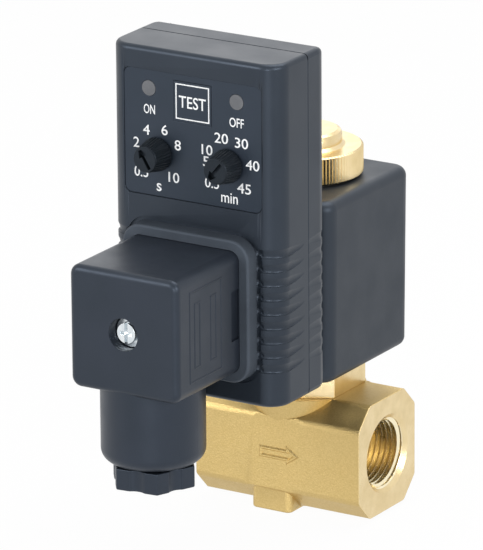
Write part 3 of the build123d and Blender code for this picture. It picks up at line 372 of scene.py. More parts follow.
# %% Dress the CAD nodes
SLOT_FINISH = {
    "brass_body": blasted_brass, "brass_turned": cut_brass, "stainless": steel,
    "zinc_steel": zinc, "copper": copper, "tinned_brass": tin,
    "seal_rubber": seal_rubber, "frame_rubber": frame_rubber,
    "coil_plastic": coil_plastic, "bobbin_plastic": nylon,
    "timer_plastic": timer_plastic, "label_film": label_film, "lamp_lens": grey_lens,
    "lamp_body": clear_epoxy, "knob_plastic": knob_plastic, "plug_plastic": plug_plastic,
    "insert_plastic": dark_nylon, "board_laminate": laminate,
    "capacitor_sleeve": sleeve_film,
}
slot_of = {s["node"]: s["material_slot"] for s in frame["record"]["subparts"]}
for name, node in nodes.items():
    node.data.materials.clear()
    node.data.materials.append(SLOT_FINISH[slot_of[name]])
print("dressed", len(nodes), "nodes")

# %% [markdown]
# ## Soft edges
#
# Forged, turned and moulded edges are never knife sharp, and it is the small round on
# an edge that catches the light. A piece here is a merged copy of its CAD node with a
# Bevel modifier, which keeps the CAD sizes and rounds only edges that really turn.

# %% A piece from a CAD node
EDGE_ANGLE = math.radians(28)
FLAT_ANGLE = math.radians(0.5)
WELD = 0.002 * mm    # CAD points nearer than this are one point
TOUCH = 0.02 * mm    # how near a point lies to a surface that it belongs to


def add_piece(name, mesh, material, body):
    """Store a bmesh as a finished piece that rides on a body."""
    data = bpy.data.meshes.new(name)
    mesh.to_mesh(data)
    mesh.free()
    data.shade_smooth()
    data.set_sharp_from_angle(angle=EDGE_ANGLE)
    data.materials.append(material)
    piece = bpy.data.objects.new(name, data)
    bpy.context.scene.collection.objects.link(piece)
    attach(piece, body)
    return piece


def merged_copy(node):
    """The node's solid as one connected mesh with its flat areas joined up."""
    mesh = bmesh.new()
    mesh.from_mesh(nodes[node].data)
    bmesh.ops.remove_doubles(mesh, verts=mesh.verts, dist=WELD)
    bmesh.ops.dissolve_limit(
        mesh, angle_limit=FLAT_ANGLE, verts=mesh.verts, edges=mesh.edges
    )
    return mesh


def round_edges(piece, width, segments=3):
    """A live bevel on the edges that turn by more than the edge angle."""
    bevel = piece.modifiers.new("soft_edges", "BEVEL")
    bevel.width = width
    bevel.segments = segments
    bevel.profile = 0.5
    bevel.limit_method = "ANGLE"
    bevel.angle_limit = EDGE_ANGLE
    bevel.harden_normals = True


def round_chosen_edges(piece, width, weights, segments=3):
    """A live bevel whose width each edge scales by its own weight; the rest stay sharp."""
    layer = piece.data.attributes.new("bevel_weight_edge", "FLOAT", "EDGE")
    layer.data.foreach_set("value", weights)
    bevel = piece.modifiers.new("soft_edges", "BEVEL")
    bevel.width = width
    bevel.segments = segments
    bevel.profile = 0.5
    bevel.limit_method = "WEIGHT"
    bevel.use_clamp_overlap = False
    bevel.harden_normals = True


def even_shading(piece):
    """Let the large flat faces set the normals, so the small ones don't tilt them."""
    shading = piece.modifiers.new("even_shading", "WEIGHTED_NORMAL")
    shading.keep_sharp = True
    shading.weight = 100


# %% [markdown]
# ## Valve body
#
# The body is a forging with an eight-sided section. Only its ends and ports are cut.
# The CAD bore has the thread's crest radius, so the copy's bore is first opened to the
# root radius, and a helical ridge then fills it back to the crests. The countersink
# meets the wider bore nearer the end face. The cut faces get their own brass.
#
# Only the long forged edges are rounded, and only where no neck or foot crosses them, so
# the mesh is first cut across at those places. Where the neck's cone runs into a flat the
# turn is slight in places, so that line is marked sharp by the faces that it joins.

# %% Bores and forged edges
PORT_CREST = 7.475 * mm
PORT_ROOT = 8.331 * mm
PORT_DEPTH = 11.5 * mm
CUT_SOFTNESS = 0.3
FOOT_SOFTNESS = 0.6
MOUTH_DEPTH = 1.6 * mm
MOUTH_RADIUS = 9.3 * mm
MOUTH_SLOPE = (MOUTH_RADIUS - PORT_CREST) / MOUTH_DEPTH
FORGED_EDGE = 0.8 * mm
NECK_CLEAR = 13.2 * mm
FRONT_CLEAR = 6.2 * mm
FOOT_CLEAR = (-8.9 * mm, 4.5 * mm)
FLAT_HALF = 10.0 * mm
OCTAGON = ((12.7 * mm, 8.65 * mm), (7.7 * mm, 13.65 * mm))
CROSS_CUTS = (
    -NECK_CLEAR, FOOT_CLEAR[0], -FRONT_CLEAR, FRONT_CLEAR, FOOT_CLEAR[1], NECK_CLEAR,
)
body_low, body_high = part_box("valve_body")
PORT_FLOOR = body_high.x - PORT_DEPTH
PORT_Z = frame["record"]["mounts"][1]["pos_m"][2]


def port_radius(point):
    """Distance from the port axis."""
    return math.hypot(point.y, point.z - PORT_Z)


def runs_clear(edge):
    """True for a long forged edge where no neck or foot crosses it."""
    start, end = (v.co for v in edge.verts)
    middle = (start + end) / 2
    on_corner = any(
        math.hypot(abs(v.co.y) - wide, abs(v.co.z - PORT_Z) - tall) < TOUCH
        for v in edge.verts for wide, tall in OCTAGON
    )
    if not on_corner or abs(start.y - end.y) + abs(start.z - end.z) > TOUCH / 2:
        return False
    if middle.z > PORT_Z:
        limit = NECK_CLEAR if abs(middle.y) < FLAT_HALF else FRONT_CLEAR
        return min(abs(start.x), abs(end.x)) > limit - TOUCH / 2
    return not FOOT_CLEAR[0] + TOUCH / 2 < middle.x < FOOT_CLEAR[1] - TOUCH / 2


def edge_softness(edge):
    """Full along the forging, slight round the cut ends, none inside or at a junction."""
    if edge.calc_face_angle(0) < EDGE_ANGLE:
        return 0.0
    start, end = (v.co for v in edge.verts)
    if min(abs(start.x), abs(end.x)) > body_high.x - TOUCH / 2:
        return CUT_SOFTNESS if port_radius(start) > MOUTH_RADIUS + 0.5 * mm else 0.0
    if max(start.z, end.z) < TOUCH / 2:
        return FOOT_SOFTNESS
    return 1.0 if runs_clear(edge) else 0.0


def is_forged_flat(face):
    """True on the octagon's eight sides and on the ends."""
    if abs(face.normal.x) > 0.999:
        return True
    turn = math.degrees(math.atan2(face.normal.z, face.normal.y)) % 45
    return abs(face.normal.x) < 0.001 and min(turn, 45 - turn) < 0.1


def ends_a_flat(edge):
    """True where a round form runs into a flat, however slight the turn between them."""
    return len({is_forged_flat(face) for face in edge.link_faces}) == 2


def open_bores(mesh):
    """Move the bores out to the root radius, and the countersinks' inner rims with them."""
    for vertex in mesh.verts:
        radius = port_radius(vertex.co)
        in_bore = abs(vertex.co.x) > PORT_FLOOR - 0.1 * mm
        if in_bore and PORT_CREST - TOUCH < radius < PORT_ROOT:
            vertex.co.y *= PORT_ROOT / radius
            vertex.co.z = PORT_Z + (vertex.co.z - PORT_Z) * PORT_ROOT / radius
            if abs(vertex.co.x) > body_high.x - MOUTH_DEPTH - 0.1 * mm:
                shallow = body_high.x - (MOUTH_RADIUS - PORT_ROOT) / MOUTH_SLOPE
                vertex.co.x = math.copysign(shallow, vertex.co.x)
    bmesh.ops.remove_doubles(mesh, verts=mesh.verts, dist=WELD)


def mark_cut_faces(mesh):
    """Give the ends and the ports the second material."""
    for face in mesh.faces:
        middle = face.calc_center_median()
        end_face = abs(face.normal.x) > 0.99 and abs(middle.x) > body_high.x - 0.1 * mm
        in_port = abs(middle.x) > PORT_FLOOR - 0.1 * mm and port_radius(middle) < MOUTH_RADIUS
        face.material_index = 1 if end_face or in_port else 0


# %% Valve body
body_mesh = merged_copy("valve_body")
open_bores(body_mesh)
mark_cut_faces(body_mesh)
for place in CROSS_CUTS:
    everything = list(body_mesh.verts) + list(body_mesh.edges) + list(body_mesh.faces)
    bmesh.ops.bisect_plane(
        body_mesh, geom=everything, plane_co=(place, 0, 0), plane_no=(1, 0, 0)
    )
body_mesh.edges.index_update()
body_weights = [edge_softness(edge) for edge in body_mesh.edges]
body_junctions = [edge.index for edge in body_mesh.edges if ends_a_flat(edge)]
valve_body = add_piece("valve_body_forging", body_mesh, blasted_brass, "valve")
valve_body.data.materials.append(cut_brass)
for index in body_junctions:
    valve_body.data.edges[index].use_edge_sharp = True
round_chosen_edges(valve_body, FORGED_EDGE, body_weights)
even_shading(valve_body)
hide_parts("valve_body")
print("body faces:", len(valve_body.data.polygons))

# %% [markdown]
# ### Port threads
#
# A pipe thread is a V ridge that climbs one pitch each turn. `bmesh.ops.spin` takes a
# step vector as well as an angle, which is just such a climb, so one closed profile spun
# along the port makes the whole ridge. The countersink then trims its last turn, and the
# flanks have a few steps, so that the trimmed edge stays smooth.

# %% Port threads
PITCH = 1.337 * mm
STEPS_PER_TURN = 72
FLANK_STEPS = 6
FLANK = 0.36         # a flank's length and the crest's place, as shares of the pitch
RIDGE_START = 0.08
CREST_END = 0.56
ROOT_OVERLAP = 1.05  # the ridge reaches a little into the wall
THREAD_SINK = 0.1 * mm
END_CLEAR = 0.2 * mm
THREAD_START = PORT_FLOOR - 0.4 * mm


def cut_countersink(mesh):
    """Trim the ridge to the countersink's cone, and sink it into the wall beyond that."""
    for vertex in mesh.verts:
        vertex.co.x = min(vertex.co.x, body_high.x - END_CLEAR)
        radius = port_radius(vertex.co)
        cone = MOUTH_RADIUS - (body_high.x - vertex.co.x) * MOUTH_SLOPE
        cone += min(THREAD_SINK, max(0.0, cone - PORT_ROOT) / 2)
        if radius < cone:
            vertex.co.y *= cone / radius
            vertex.co.z = PORT_Z + (vertex.co.z - PORT_Z) * cone / radius


def thread_mesh(side):
    """The helical ridge of one port; side is 1 for the outlet and -1 for the inlet."""
    mesh = bmesh.new()
    points = []
    shares = [step / FLANK_STEPS for step in range(FLANK_STEPS + 1)]
    rising = [(RIDGE_START + FLANK * share, ROOT_OVERLAP * (1 - share)) for share in shares]
    falling = [(CREST_END + FLANK * share, ROOT_OVERLAP * share) for share in shares]
    for along, depth in rising + falling:
        radius = PORT_CREST + (PORT_ROOT - PORT_CREST) * depth
        points.append(mesh.verts.new((THREAD_START + along * PITCH, radius, PORT_Z)))
    edges = [mesh.edges.new((points[i - 1], points[i])) for i in range(len(points))]
    steps = int((body_high.x - THREAD_START) / PITCH * STEPS_PER_TURN)
    bmesh.ops.spin(
        mesh, geom=points + edges, cent=(0, 0, PORT_Z), axis=(1, 0, 0),
        dvec=(PITCH / STEPS_PER_TURN, 0, 0), angle=math.tau * steps / STEPS_PER_TURN,
        steps=steps, use_merge=False,
    )
    bmesh.ops.holes_fill(mesh, edges=[e for e in mesh.edges if e.is_boundary])
    cut_countersink(mesh)
    if side < 0:
        half_turn = Matrix.Rotation(math.pi, 3, "Z")
        bmesh.ops.rotate(mesh, verts=mesh.verts, cent=(0, 0, 0), matrix=half_turn)
    bmesh.ops.recalc_face_normals(mesh, faces=mesh.faces)
    return mesh


for side, port in ((1, "outlet"), (-1, "inlet")):
    thread = add_piece(f"{port}_thread", thread_mesh(side), thread_brass_painted_lit, "valve")
    print(port, "thread faces:", len(thread.data.polygons))

# %% [markdown]
# ### Flow arrow
#
# The forging die leaves an outlined arrow on the front. It starts as a flat outline
# facing the viewer; an inset makes the outline's line, and only that ring is raised. A
# die needs draft, so a second inset with a depth gives the line sloping sides.

# %% Raised lines
def raised_line(mesh, corners, width, rise, slope, sink):
    """A closed ridge along a flat outline, sunk a little into the surface under it.

    The outline's corners run so that their face looks away from the surface.
    """
    face = mesh.faces.new([mesh.verts.new(c) for c in corners])
    mesh.faces.ensure_lookup_table()
    face.normal_update()
    outward = face.normal.copy()
    made = bmesh.ops.inset_region(
        mesh, faces=[face], thickness=width, use_boundary=True, use_even_offset=True
    )
    bmesh.ops.delete(mesh, geom=[face], context="FACES")
    ring = bmesh.ops.extrude_face_region(mesh, geom=made["faces"])["geom"]
    top_verts = [g for g in ring if isinstance(g, bmesh.types.BMVert)]
    top_faces = [g for g in ring if isinstance(g, bmesh.types.BMFace)]
    bmesh.ops.translate(mesh, verts=top_verts, vec=outward * sink)
    bmesh.ops.inset_region(
        mesh, faces=top_faces, thickness=slope, depth=rise, use_boundary=True,
        use_even_offset=True,
    )


# %% Flow arrow
ARROW_LENGTH = 10.6 * mm
ARROW_CENTRE_X = 0.6 * mm
ARROW_HEAD = 3.5 * mm
ARROW_SHAFT = 2.8 * mm
ARROW_HEIGHT = 4.7 * mm
ARROW_LINE = 0.9 * mm
ARROW_RISE = 0.34 * mm
ARROW_SLOPE = 0.3 * mm
ARROW_SINK = 0.05 * mm
FRONT_FACE_Y = -12.7 * mm


def flow_arrow():
    """The outlined arrow, which points to the outlet."""
    x0 = ARROW_CENTRE_X - ARROW_LENGTH / 2
    x1 = ARROW_CENTRE_X + ARROW_LENGTH / 2
    neck = x1 - ARROW_HEAD
    shaft = ARROW_SHAFT / 2
    head = ARROW_HEIGHT / 2
    outline = [
        (x0, -shaft), (neck, -shaft), (neck, -head), (x1, 0),
        (neck, head), (neck, shaft), (x0, shaft),
    ]
    mesh = bmesh.new()
    corners = [(x, FRONT_FACE_Y + ARROW_SINK, PORT_Z + z) for x, z in outline]
    raised_line(mesh, corners, ARROW_LINE, ARROW_RISE, ARROW_SLOPE, ARROW_SINK)
    bmesh.ops.recalc_face_normals(mesh, faces=mesh.faces)
    return mesh


arrow = add_piece("flow_arrow", flow_arrow(), blasted_brass, "valve")
print("arrow faces:", len(arrow.data.polygons))

# %% [markdown]
# ## Stem nut and knurled nut
#
# Both are turned brass. The hexagon only needs its edges broken. The top nut carries a
# straight knurl: a profile is spun in twice as many steps as there are teeth, and
# every second spoke of the rim is pulled in.

# %% Stem nut
stem_mesh = merged_copy("stem_base_nut")
stem_nut = add_piece("stem_nut_turned", stem_mesh, cut_brass, "valve")
round_edges(stem_nut, 0.25 * mm)
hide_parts("stem_base_nut")
print("stem nut faces:", len(stem_nut.data.polygons))

# %% Knurled nut
KNURL_TEETH = 104
KNURL_DEPTH = 0.3 * mm
NUT_HEIGHT = 6.5 * mm
RIM_EDGE = 0.3 * mm
RIM_CHAMFER = 1.6 * RIM_EDGE
NUT_BOSS_RADIUS = 8.7 * mm
BOSS_FLARE = 0.7 * mm
BOSS_ROUND = 1.1 * mm
BOSS_ROUND_MID = (0.35 * mm, 0.4 * mm)
STUD_RADIUS = 5.0 * mm
nut_low, nut_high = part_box("knurled_nut")
NUT_RADIUS = nut_high.x


def lathe(points, steps, centre=(0, 0, 0), axis=(0, 0, 1)):
    """Spin a profile once round an axis; points are places in the profile's plane."""
    mesh = bmesh.new()
    verts = [mesh.verts.new(p) for p in points]
    edges = [mesh.edges.new(pair) for pair in zip(verts, verts[1:])]
    bmesh.ops.spin(
        mesh, geom=verts + edges, cent=centre, axis=axis, angle=math.tau,
        steps=steps, use_merge=True,
    )
    bmesh.ops.remove_doubles(mesh, verts=mesh.verts, dist=0.001 * mm)
    return mesh


def knurled_nut():
    """The nut's outside as one turned profile, with the knurl pressed into its rim."""
    z0 = nut_low.z
    z1 = z0 + NUT_HEIGHT
    z2 = nut_high.z
    profile = [
        (STUD_RADIUS, z0), (NUT_RADIUS - RIM_CHAMFER, z0), (NUT_RADIUS, z0 + RIM_EDGE),
        (NUT_RADIUS, z1 - RIM_EDGE), (NUT_RADIUS - RIM_CHAMFER, z1),
        (NUT_BOSS_RADIUS + BOSS_FLARE, z1), (NUT_BOSS_RADIUS, z1 + BOSS_FLARE),
        (NUT_BOSS_RADIUS, z2 - BOSS_ROUND),
        (NUT_BOSS_RADIUS - BOSS_ROUND_MID[0], z2 - BOSS_ROUND_MID[1]),
        (NUT_BOSS_RADIUS - BOSS_ROUND, z2), (0, z2),
    ]
    mesh = lathe([(radius, 0, z) for radius, z in profile], 2 * KNURL_TEETH)
    for vertex in mesh.verts:
        radius = math.hypot(vertex.co.x, vertex.co.y)
        spoke = round(math.atan2(vertex.co.y, vertex.co.x) / (math.pi / KNURL_TEETH))
        if radius > NUT_RADIUS - 0.1 * mm and spoke % 2:
            vertex.co.x *= 1 - KNURL_DEPTH / radius
            vertex.co.y *= 1 - KNURL_DEPTH / radius
    bmesh.ops.holes_fill(mesh, edges=[e for e in mesh.edges if e.is_boundary])
    bmesh.ops.recalc_face_normals(mesh, faces=mesh.faces)
    return mesh


top_nut = add_piece("knurled_nut_turned", knurled_nut(), cut_brass, "valve")
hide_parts("knurled_nut")
print("nut faces:", len(top_nut.data.polygons))

# %% [markdown]
# ## Timer case
#
# Two mouldings meet at a seam. The CAD grip grooves are plain round channels; on the
# moulding their lower walls are steep ledges that catch the light, and on the rear
# cover they fade to a light scallop. Moving vertices along the case's plan outline does
# both, because a groove's depth is just the distance inside that outline.

# %% Grip grooves
CORNER_FRONT = 5.2 * mm
CORNER_BACK = 4.5 * mm
GRIP_FIRST = 9.15 * mm
GRIP_PITCH = 3.33 * mm
GRIP_COUNT = 9
GRIP_HALF = 1.06 * mm
GRIP_DEPTH = 0.65 * mm
RECESS_EDGE = 17.4 * mm
front_low, front_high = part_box("timer_front_housing")
rear_low, rear_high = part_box("timer_rear_cover")
CASE_X = front_high.x
FRONT_Y = front_low.y
BACK_Y = rear_high.y


def inside_outline(point):
    """Distance inside the case's plan outline, and the outward direction there."""
    ax = abs(point.x)
    side = math.copysign(1, point.x)
    for face_y, corner, way in ((FRONT_Y, CORNER_FRONT, 1), (BACK_Y, CORNER_BACK, -1)):
        into = (point.y - face_y) * way
        if into < corner:
            if ax < CASE_X - corner:
                return into, Vector((0, -way, 0))
            arm = Vector((ax - (CASE_X - corner), (corner - into)))
            if arm.length < WELD / 20:
                return corner, Vector((side, 0, 0))
            return corner - arm.length, Vector((side * arm.x, -way * arm.y, 0)).normalized()
    return CASE_X - ax, Vector((side, 0, 0))


def in_a_groove(point):
    """True on a groove's wall or floor."""
    place = (point.z - front_low.z - GRIP_FIRST) / GRIP_PITCH
    nearest = min(max(round(place), 0), GRIP_COUNT - 1)
    near_one = abs(place - nearest) * GRIP_PITCH < GRIP_HALF
    return near_one and abs(point.x) > RECESS_EDGE - TOUCH


def shape_grooves(mesh, keep, drop):
    """Leave a share of the depth, and move the deepest points down by a share of it."""
    count = 0
    for vertex in mesh.verts:
        depth, outward = inside_outline(vertex.co)
        if TOUCH / 2 < depth < GRIP_DEPTH + TOUCH and in_a_groove(vertex.co):
            vertex.co += outward * depth * (1 - keep)
            vertex.co.z -= depth * drop
            count += 1
    return count


# %% Front housing
FRONT_KEEP = 0.7
FRONT_DROP = 0.95
front_mesh = merged_copy("timer_front_housing")
print("groove vertices, front:", shape_grooves(front_mesh, FRONT_KEEP, FRONT_DROP))
front_case = add_piece("timer_front_moulded", front_mesh, timer_plastic, "valve")
even_shading(front_case)
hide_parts("timer_front_housing")

# %% [markdown]
# ### Rear cover
#
# The seam's slot is only a hairline on the sides. Where the cover's top and side meet,
# the edge curves, so it is found as the vertices that lie on both surfaces.

# %% Rear cover
SEAM_SLOT = 0.45 * mm
SEAM_GAP = 0.35 * mm
HAIRLINE = 0.03 * mm
COVER_EDGE = 1.2 * mm
COVER_REACH = 3.6 * mm
LEAST_TURN = math.radians(12)
REAR_KEEP = 0.3
REAR_DROP = 0.3


def close_side_seam(mesh):
    """Fill the slot on the sides to a hairline."""
    for vertex in mesh.verts:
        in_slot = vertex.co.y < rear_low.y + SEAM_GAP + TOUCH
        if in_slot and abs(abs(vertex.co.x) - (CASE_X - SEAM_SLOT)) < HAIRLINE:
            vertex.co.x = math.copysign(CASE_X - HAIRLINE, vertex.co.x)


def cover_softness(edge):
    """More than none where the outer side turns into the outer top or underside."""
    for vertex in edge.verts:
        depth, _ = inside_outline(vertex.co)
        near_end = min(rear_high.z - vertex.co.z, vertex.co.z - rear_low.z)
        if depth > TOUCH or near_end > COVER_REACH:
            return 0.0
    flat_back = all(abs(v.co.y - BACK_Y) < TOUCH / 2 for v in edge.verts)
    seam_rim = all(v.co.y < rear_low.y + SEAM_GAP + TOUCH for v in edge.verts)
    turn = edge.calc_face_angle(0)
    if flat_back or seam_rim or turn < LEAST_TURN:
        return 0.0
    return min(1.0, turn / (math.pi / 2))


rear_mesh = merged_copy("timer_rear_cover")
print("groove vertices, rear:", shape_grooves(rear_mesh, REAR_KEEP, REAR_DROP))
close_side_seam(rear_mesh)
cover_weights = [cover_softness(edge) for edge in rear_mesh.edges]
rear_case = add_piece("timer_rear_moulded", rear_mesh, timer_plastic, "valve")
round_chosen_edges(rear_case, COVER_EDGE, cover_weights)
even_shading(rear_case)
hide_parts("timer_rear_cover")
print("rounded cover edges:", sum(w > 0 for w in cover_weights))

# %% [markdown]
# ### Label and test key
#
# The label is a thin plate with a broken edge, which draws a fine line round it. The
# key is grown until only a hairline is left between it and the label.

# %% Label and key
label_mesh = merged_copy("front_label")
label_plate = add_piece("label_plate", label_mesh, label_film, "valve")
round_edges(label_plate, 0.1 * mm, 2)
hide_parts("front_label")

KEY_GROW = 0.13 * mm
key_low, key_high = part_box("test_button")
KEY_Z = (key_low.z + key_high.z) / 2
KEY_HALF_WIDTH = 4.7 * mm
KEY_HALF_HEIGHT = 4.45 * mm
key_mesh = merged_copy("test_button")
for vertex in key_mesh.verts:
    if abs(abs(vertex.co.x) - KEY_HALF_WIDTH) < TOUCH:
        vertex.co.x += math.copysign(KEY_GROW, vertex.co.x)
    if abs(abs(vertex.co.z - KEY_Z) - KEY_HALF_HEIGHT) < TOUCH:
        vertex.co.z += math.copysign(KEY_GROW, vertex.co.z - KEY_Z)
test_key = add_piece("test_key", key_mesh, label_film, "test_button")
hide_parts("test_button")
print("label and key made")

# %% [markdown]
# ## Printed label
#
# The words and numbers are screen print, so they are real shapes a few hundredths of a
# millimetre thick. Each is set as text, turned into a mesh and scaled to its printed
# height, which is easier to match than a font size.

# %% Print on the label
PRINT_THICKNESS = 0.03 * mm
STROKE_GROW = 0.006  # a share of the letter's height, which makes the strokes bolder
TO_FRONT = Matrix.Rotation(math.pi / 2, 3, "X")
label_low, label_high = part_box("front_label")
LABEL_TOP = label_high.z


def dial_centre(knob):
    """The x and z of a knob's axis."""
    low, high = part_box(knob)
    return (low.x + high.x) / 2, (low.z + high.z) / 2


LEFT_X, LEFT_Z = dial_centre("on_time_knob")
RIGHT_X, RIGHT_Z = dial_centre("off_time_knob")


def print_text(name, words, x, z, width, height, body="valve"):
    """Print words centred on x, z on the label, fitted to a width and a height."""
    curve = bpy.data.curves.new(name, "FONT")
    curve.body = words
    curve.offset = STROKE_GROW
    curve.resolution_u = 4
    curve.extrude = 0.02
    text = bpy.data.objects.new(name, curve)
    bpy.context.scene.collection.objects.link(text)
    bpy.context.view_layer.update()
    flat = bpy.data.meshes.new_from_object(text)
    mesh = bmesh.new()
    mesh.from_mesh(flat)
    bpy.data.objects.remove(text)
    bmesh.ops.remove_doubles(mesh, verts=mesh.verts, dist=0.0005)
    lows = Vector([min(v.co[i] for v in mesh.verts) for i in range(3)])
    highs = Vector([max(v.co[i] for v in mesh.verts) for i in range(3)])
    size = highs - lows
    bmesh.ops.translate(mesh, verts=mesh.verts, vec=-(lows + highs) / 2)
    fit = (width / size.x, height / size.y, PRINT_THICKNESS / size.z)
    bmesh.ops.scale(mesh, verts=mesh.verts, vec=fit)
    bmesh.ops.rotate(mesh, verts=mesh.verts, cent=(0, 0, 0), matrix=TO_FRONT)
    bmesh.ops.translate(mesh, verts=mesh.verts, vec=(x, label_low.y - PRINT_THICKNESS / 2, z))
    add_piece(name, mesh, white_print, body)


# %% Dial numbers and words
DIGIT = 2.35 * mm
WORD = 2.15 * mm
LEFT_SCALE = [("0.5", -4.4, -4.75, 3.6), ("2", -5.6, 1.9, 1.55), ("4", -2.95, 5.15, 1.7),
              ("6", 1.8, 5.7, 1.6), ("8", 5.2, 2.7, 1.6), ("10", 4.1, -4.9, 2.8)]
RIGHT_SCALE = [("0.5", -4.2, -4.65, 3.6), ("5", -5.7, 0.1, 1.55), ("10", -5.4, 2.8, 2.8),
               ("20", -1.7, 6.0, 3.5), ("30", 3.5, 5.6, 3.4), ("40", 6.3, 0.95, 3.5),
               ("45", 4.1, -4.7, 3.5)]
DIALS = (("on_dial", LEFT_X, LEFT_Z, LEFT_SCALE), ("off_dial", RIGHT_X, RIGHT_Z, RIGHT_SCALE))
for dial_name, dial_x, dial_z, scale_marks in DIALS:
    for words, dx, dz, width in scale_marks:
        name = f"{dial_name}_{words.replace('.', '_')}"
        print_text(name, words, dial_x + dx * mm, dial_z + dz * mm, width * mm, DIGIT)
print_text("unit_seconds", "s", LEFT_X + 0.2 * mm, LEFT_Z - 7.7 * mm, 1.25 * mm, 1.85 * mm)
print_text("unit_minutes", "min", RIGHT_X + 0.3 * mm, RIGHT_Z - 7.4 * mm, 4.3 * mm, DIGIT)
print_text("word_on", "ON", -11.2 * mm, LABEL_TOP - 9.0 * mm, 2.9 * mm, WORD)
print_text("word_off", "OFF", 11.4 * mm, LABEL_TOP - 8.9 * mm, 3.7 * mm, WORD)
print_text("word_test", "TEST", 0, KEY_Z, 7.0 * mm, 2.75 * mm, "test_button")
print("numbers printed:", len(LEFT_SCALE) + len(RIGHT_SCALE))

# %% Box round the test key
BOX_WIDTH = 8.7 * mm
BOX_HEIGHT = 8.15 * mm
BOX_LINE = 0.28 * mm


def test_box():
    """The printed line round the word on the key."""
    mesh = bmesh.new()
    bmesh.ops.create_grid(mesh, x_segments=1, y_segments=1, size=0.5)
    bmesh.ops.scale(mesh, verts=mesh.verts, vec=(BOX_WIDTH, BOX_HEIGHT, 1))
    face = list(mesh.faces)[0]
    bmesh.ops.inset_region(
        mesh, faces=[face], thickness=BOX_LINE, use_boundary=True, use_even_offset=True
    )
    bmesh.ops.delete(mesh, geom=[face], context="FACES")
    ring = bmesh.ops.extrude_face_region(mesh, geom=list(mesh.faces))
    raised = [g for g in ring["geom"] if isinstance(g, bmesh.types.BMVert)]
    bmesh.ops.translate(mesh, verts=raised, vec=(0, 0, PRINT_THICKNESS))
    bmesh.ops.rotate(mesh, verts=mesh.verts, cent=(0, 0, 0), matrix=TO_FRONT)
    bmesh.ops.translate(mesh, verts=mesh.verts, vec=(0, label_low.y, KEY_Z))
    bmesh.ops.recalc_face_normals(mesh, faces=mesh.faces)
    return mesh


add_piece("test_box", test_box(), white_print, "test_button")
print("test box made")

# %% [markdown]
# ## Knob grips
#
# Each setting knob is a small cone with fine flutes that give a finger some hold. The
# flutes are a fluted sleeve over the plain CAD cone, and turn with the knob.

# %% Knob grips
FLUTES = 32
FLUTE_DEPTH = 0.16 * mm
KNOB_CAP = 5.3 * mm
KNOB_FRONT = 2.8 * mm
KNOB_FOOT = 3.7 * mm
KNOB_LIP = 0.25 * mm
FACE_STANDOFF = 0.02 * mm
FRONT_STANDOFF = 0.06 * mm
FOOT_STANDOFF = 0.04 * mm


def knob_grip(x, z, front_y):
    """A fluted sleeve round the knob whose axis is at x, z."""
    back_y = front_y + KNOB_CAP
    profile = [
        (x + KNOB_FRONT - KNOB_LIP, front_y + FACE_STANDOFF, z),
        (x + KNOB_FRONT + FRONT_STANDOFF, front_y + KNOB_LIP, z),
        (x + KNOB_FOOT + FOOT_STANDOFF, back_y - KNOB_LIP, z),
        (x + KNOB_FOOT - KNOB_LIP, back_y, z),
    ]
    mesh = lathe(profile, 2 * FLUTES, (x, 0, z), (0, 1, 0))
    for vertex in mesh.verts:
        dx = vertex.co.x - x
        dz = vertex.co.z - z
        radius = math.hypot(dx, dz)
        spoke = round(math.atan2(dz, dx) / (math.pi / FLUTES))
        if spoke % 2 and vertex.co.y > front_y + 0.1 * mm:
            vertex.co.x = x + dx * (1 + FLUTE_DEPTH / radius)
            vertex.co.z = z + dz * (1 + FLUTE_DEPTH / radius)
    bmesh.ops.recalc_face_normals(mesh, faces=mesh.faces)
    return mesh


for body, x, z in (("on_time_knob", LEFT_X, LEFT_Z), ("off_time_knob", RIGHT_X, RIGHT_Z)):
    grip_mesh = knob_grip(x, z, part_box(body)[0].y)
    add_piece(f"{body}_grip", grip_mesh, knob_plastic, body)
print("knob grips made")

# %% [markdown]
# ## Cable plug
#
# The plug's sides carry a moulded panel of shallow ribs. It is built flat as nested
# frames and laid on each side.

# %% Moulded relief on the plug's sides
plug_low, plug_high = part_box("connector_housing")
RELIEF_RISE = 0.14 * mm
RELIEF_LINE = 0.5 * mm
RELIEF_SLOPE = 0.16 * mm
RELIEF_SINK = 0.02 * mm
PANEL_FROM_FRONT = (5.0 * mm, 18.4 * mm)
PANEL_HALF_HEIGHT = 10.6 * mm
BARS_FROM_FRONT = (7.0 * mm, 13.6 * mm)
BAR_WIDTH = 2.6 * mm
BAR_HALF_HEIGHT = 7.6 * mm


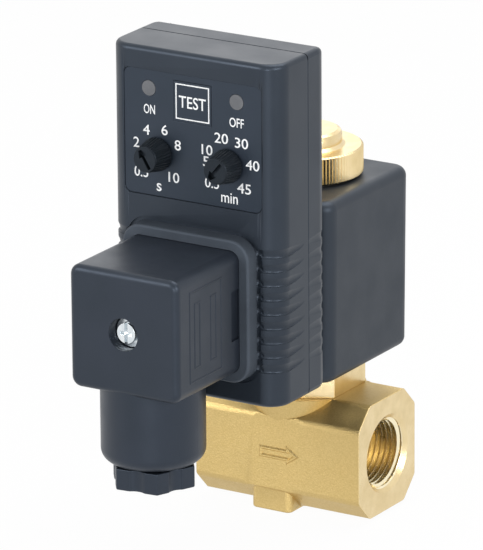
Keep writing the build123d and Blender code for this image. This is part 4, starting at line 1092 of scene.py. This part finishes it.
def side_frame(mesh, start, end, half_height, side):
    """A raised rectangular line on a side of the plug, placed from the plug's front."""
    x = side * (plug_high.x - RELIEF_SINK)
    y0 = plug_low.y + start
    y1 = plug_low.y + end
    z0 = PLUG_Z - half_height
    z1 = PLUG_Z + half_height
    corners = [(x, y0, z0), (x, y1, z0), (x, y1, z1), (x, y0, z1)]
    if side < 0:
        corners.reverse()
    raised_line(mesh, corners, RELIEF_LINE, RELIEF_RISE, RELIEF_SLOPE, RELIEF_SINK)


screw_low, screw_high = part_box("centre_screw")
PLUG_Z = (screw_low.z + screw_high.z) / 2
for side, word in ((-1, "left"), (1, "right")):
    relief = bmesh.new()
    side_frame(relief, *PANEL_FROM_FRONT, PANEL_HALF_HEIGHT, side)
    for start in BARS_FROM_FRONT:
        side_frame(relief, start, start + BAR_WIDTH, BAR_HALF_HEIGHT, side)
    bmesh.ops.recalc_face_normals(relief, faces=relief.faces)
    add_piece(f"plug_relief_{word}", relief, plug_plastic, "valve")
print("plug relief made")

# %% [markdown]
# ### Centre screw
#
# The screw's head sits at the bottom of a round well. Its rim is drawn in a little and
# rounded, so the well shows as a dark ring.

# %% Centre screw
HEAD_SHRINK = 0.86
HEAD_LENGTH = 2.0 * mm
HEAD_CORE = 2.4 * mm
screw_mesh = merged_copy("centre_screw")
for vertex in screw_mesh.verts:
    arm = Vector((vertex.co.x, 0, vertex.co.z - PLUG_Z))
    if vertex.co.y < screw_low.y + HEAD_LENGTH and arm.length > HEAD_CORE:
        vertex.co -= arm * (1 - HEAD_SHRINK)
screw = add_piece("centre_screw_turned", screw_mesh, zinc, "valve")
round_edges(screw, 0.1 * mm, 2)
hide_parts("centre_screw")
print("screw made")

# %% [markdown]
# ## Gland nut
#
# The nut that squeezes the cable seal has six hollow flats. Its CAD solid has them;
# the piece adds the round that every moulded edge has.

# %% Gland nut
gland_mesh = merged_copy("gland_nut")
gland = add_piece("gland_nut_moulded", gland_mesh, plug_plastic, "valve")
round_edges(gland, 0.5 * mm)
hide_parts("gland_nut")
print("gland nut faces:", len(gland.data.polygons))

# %% End
print("scene built")
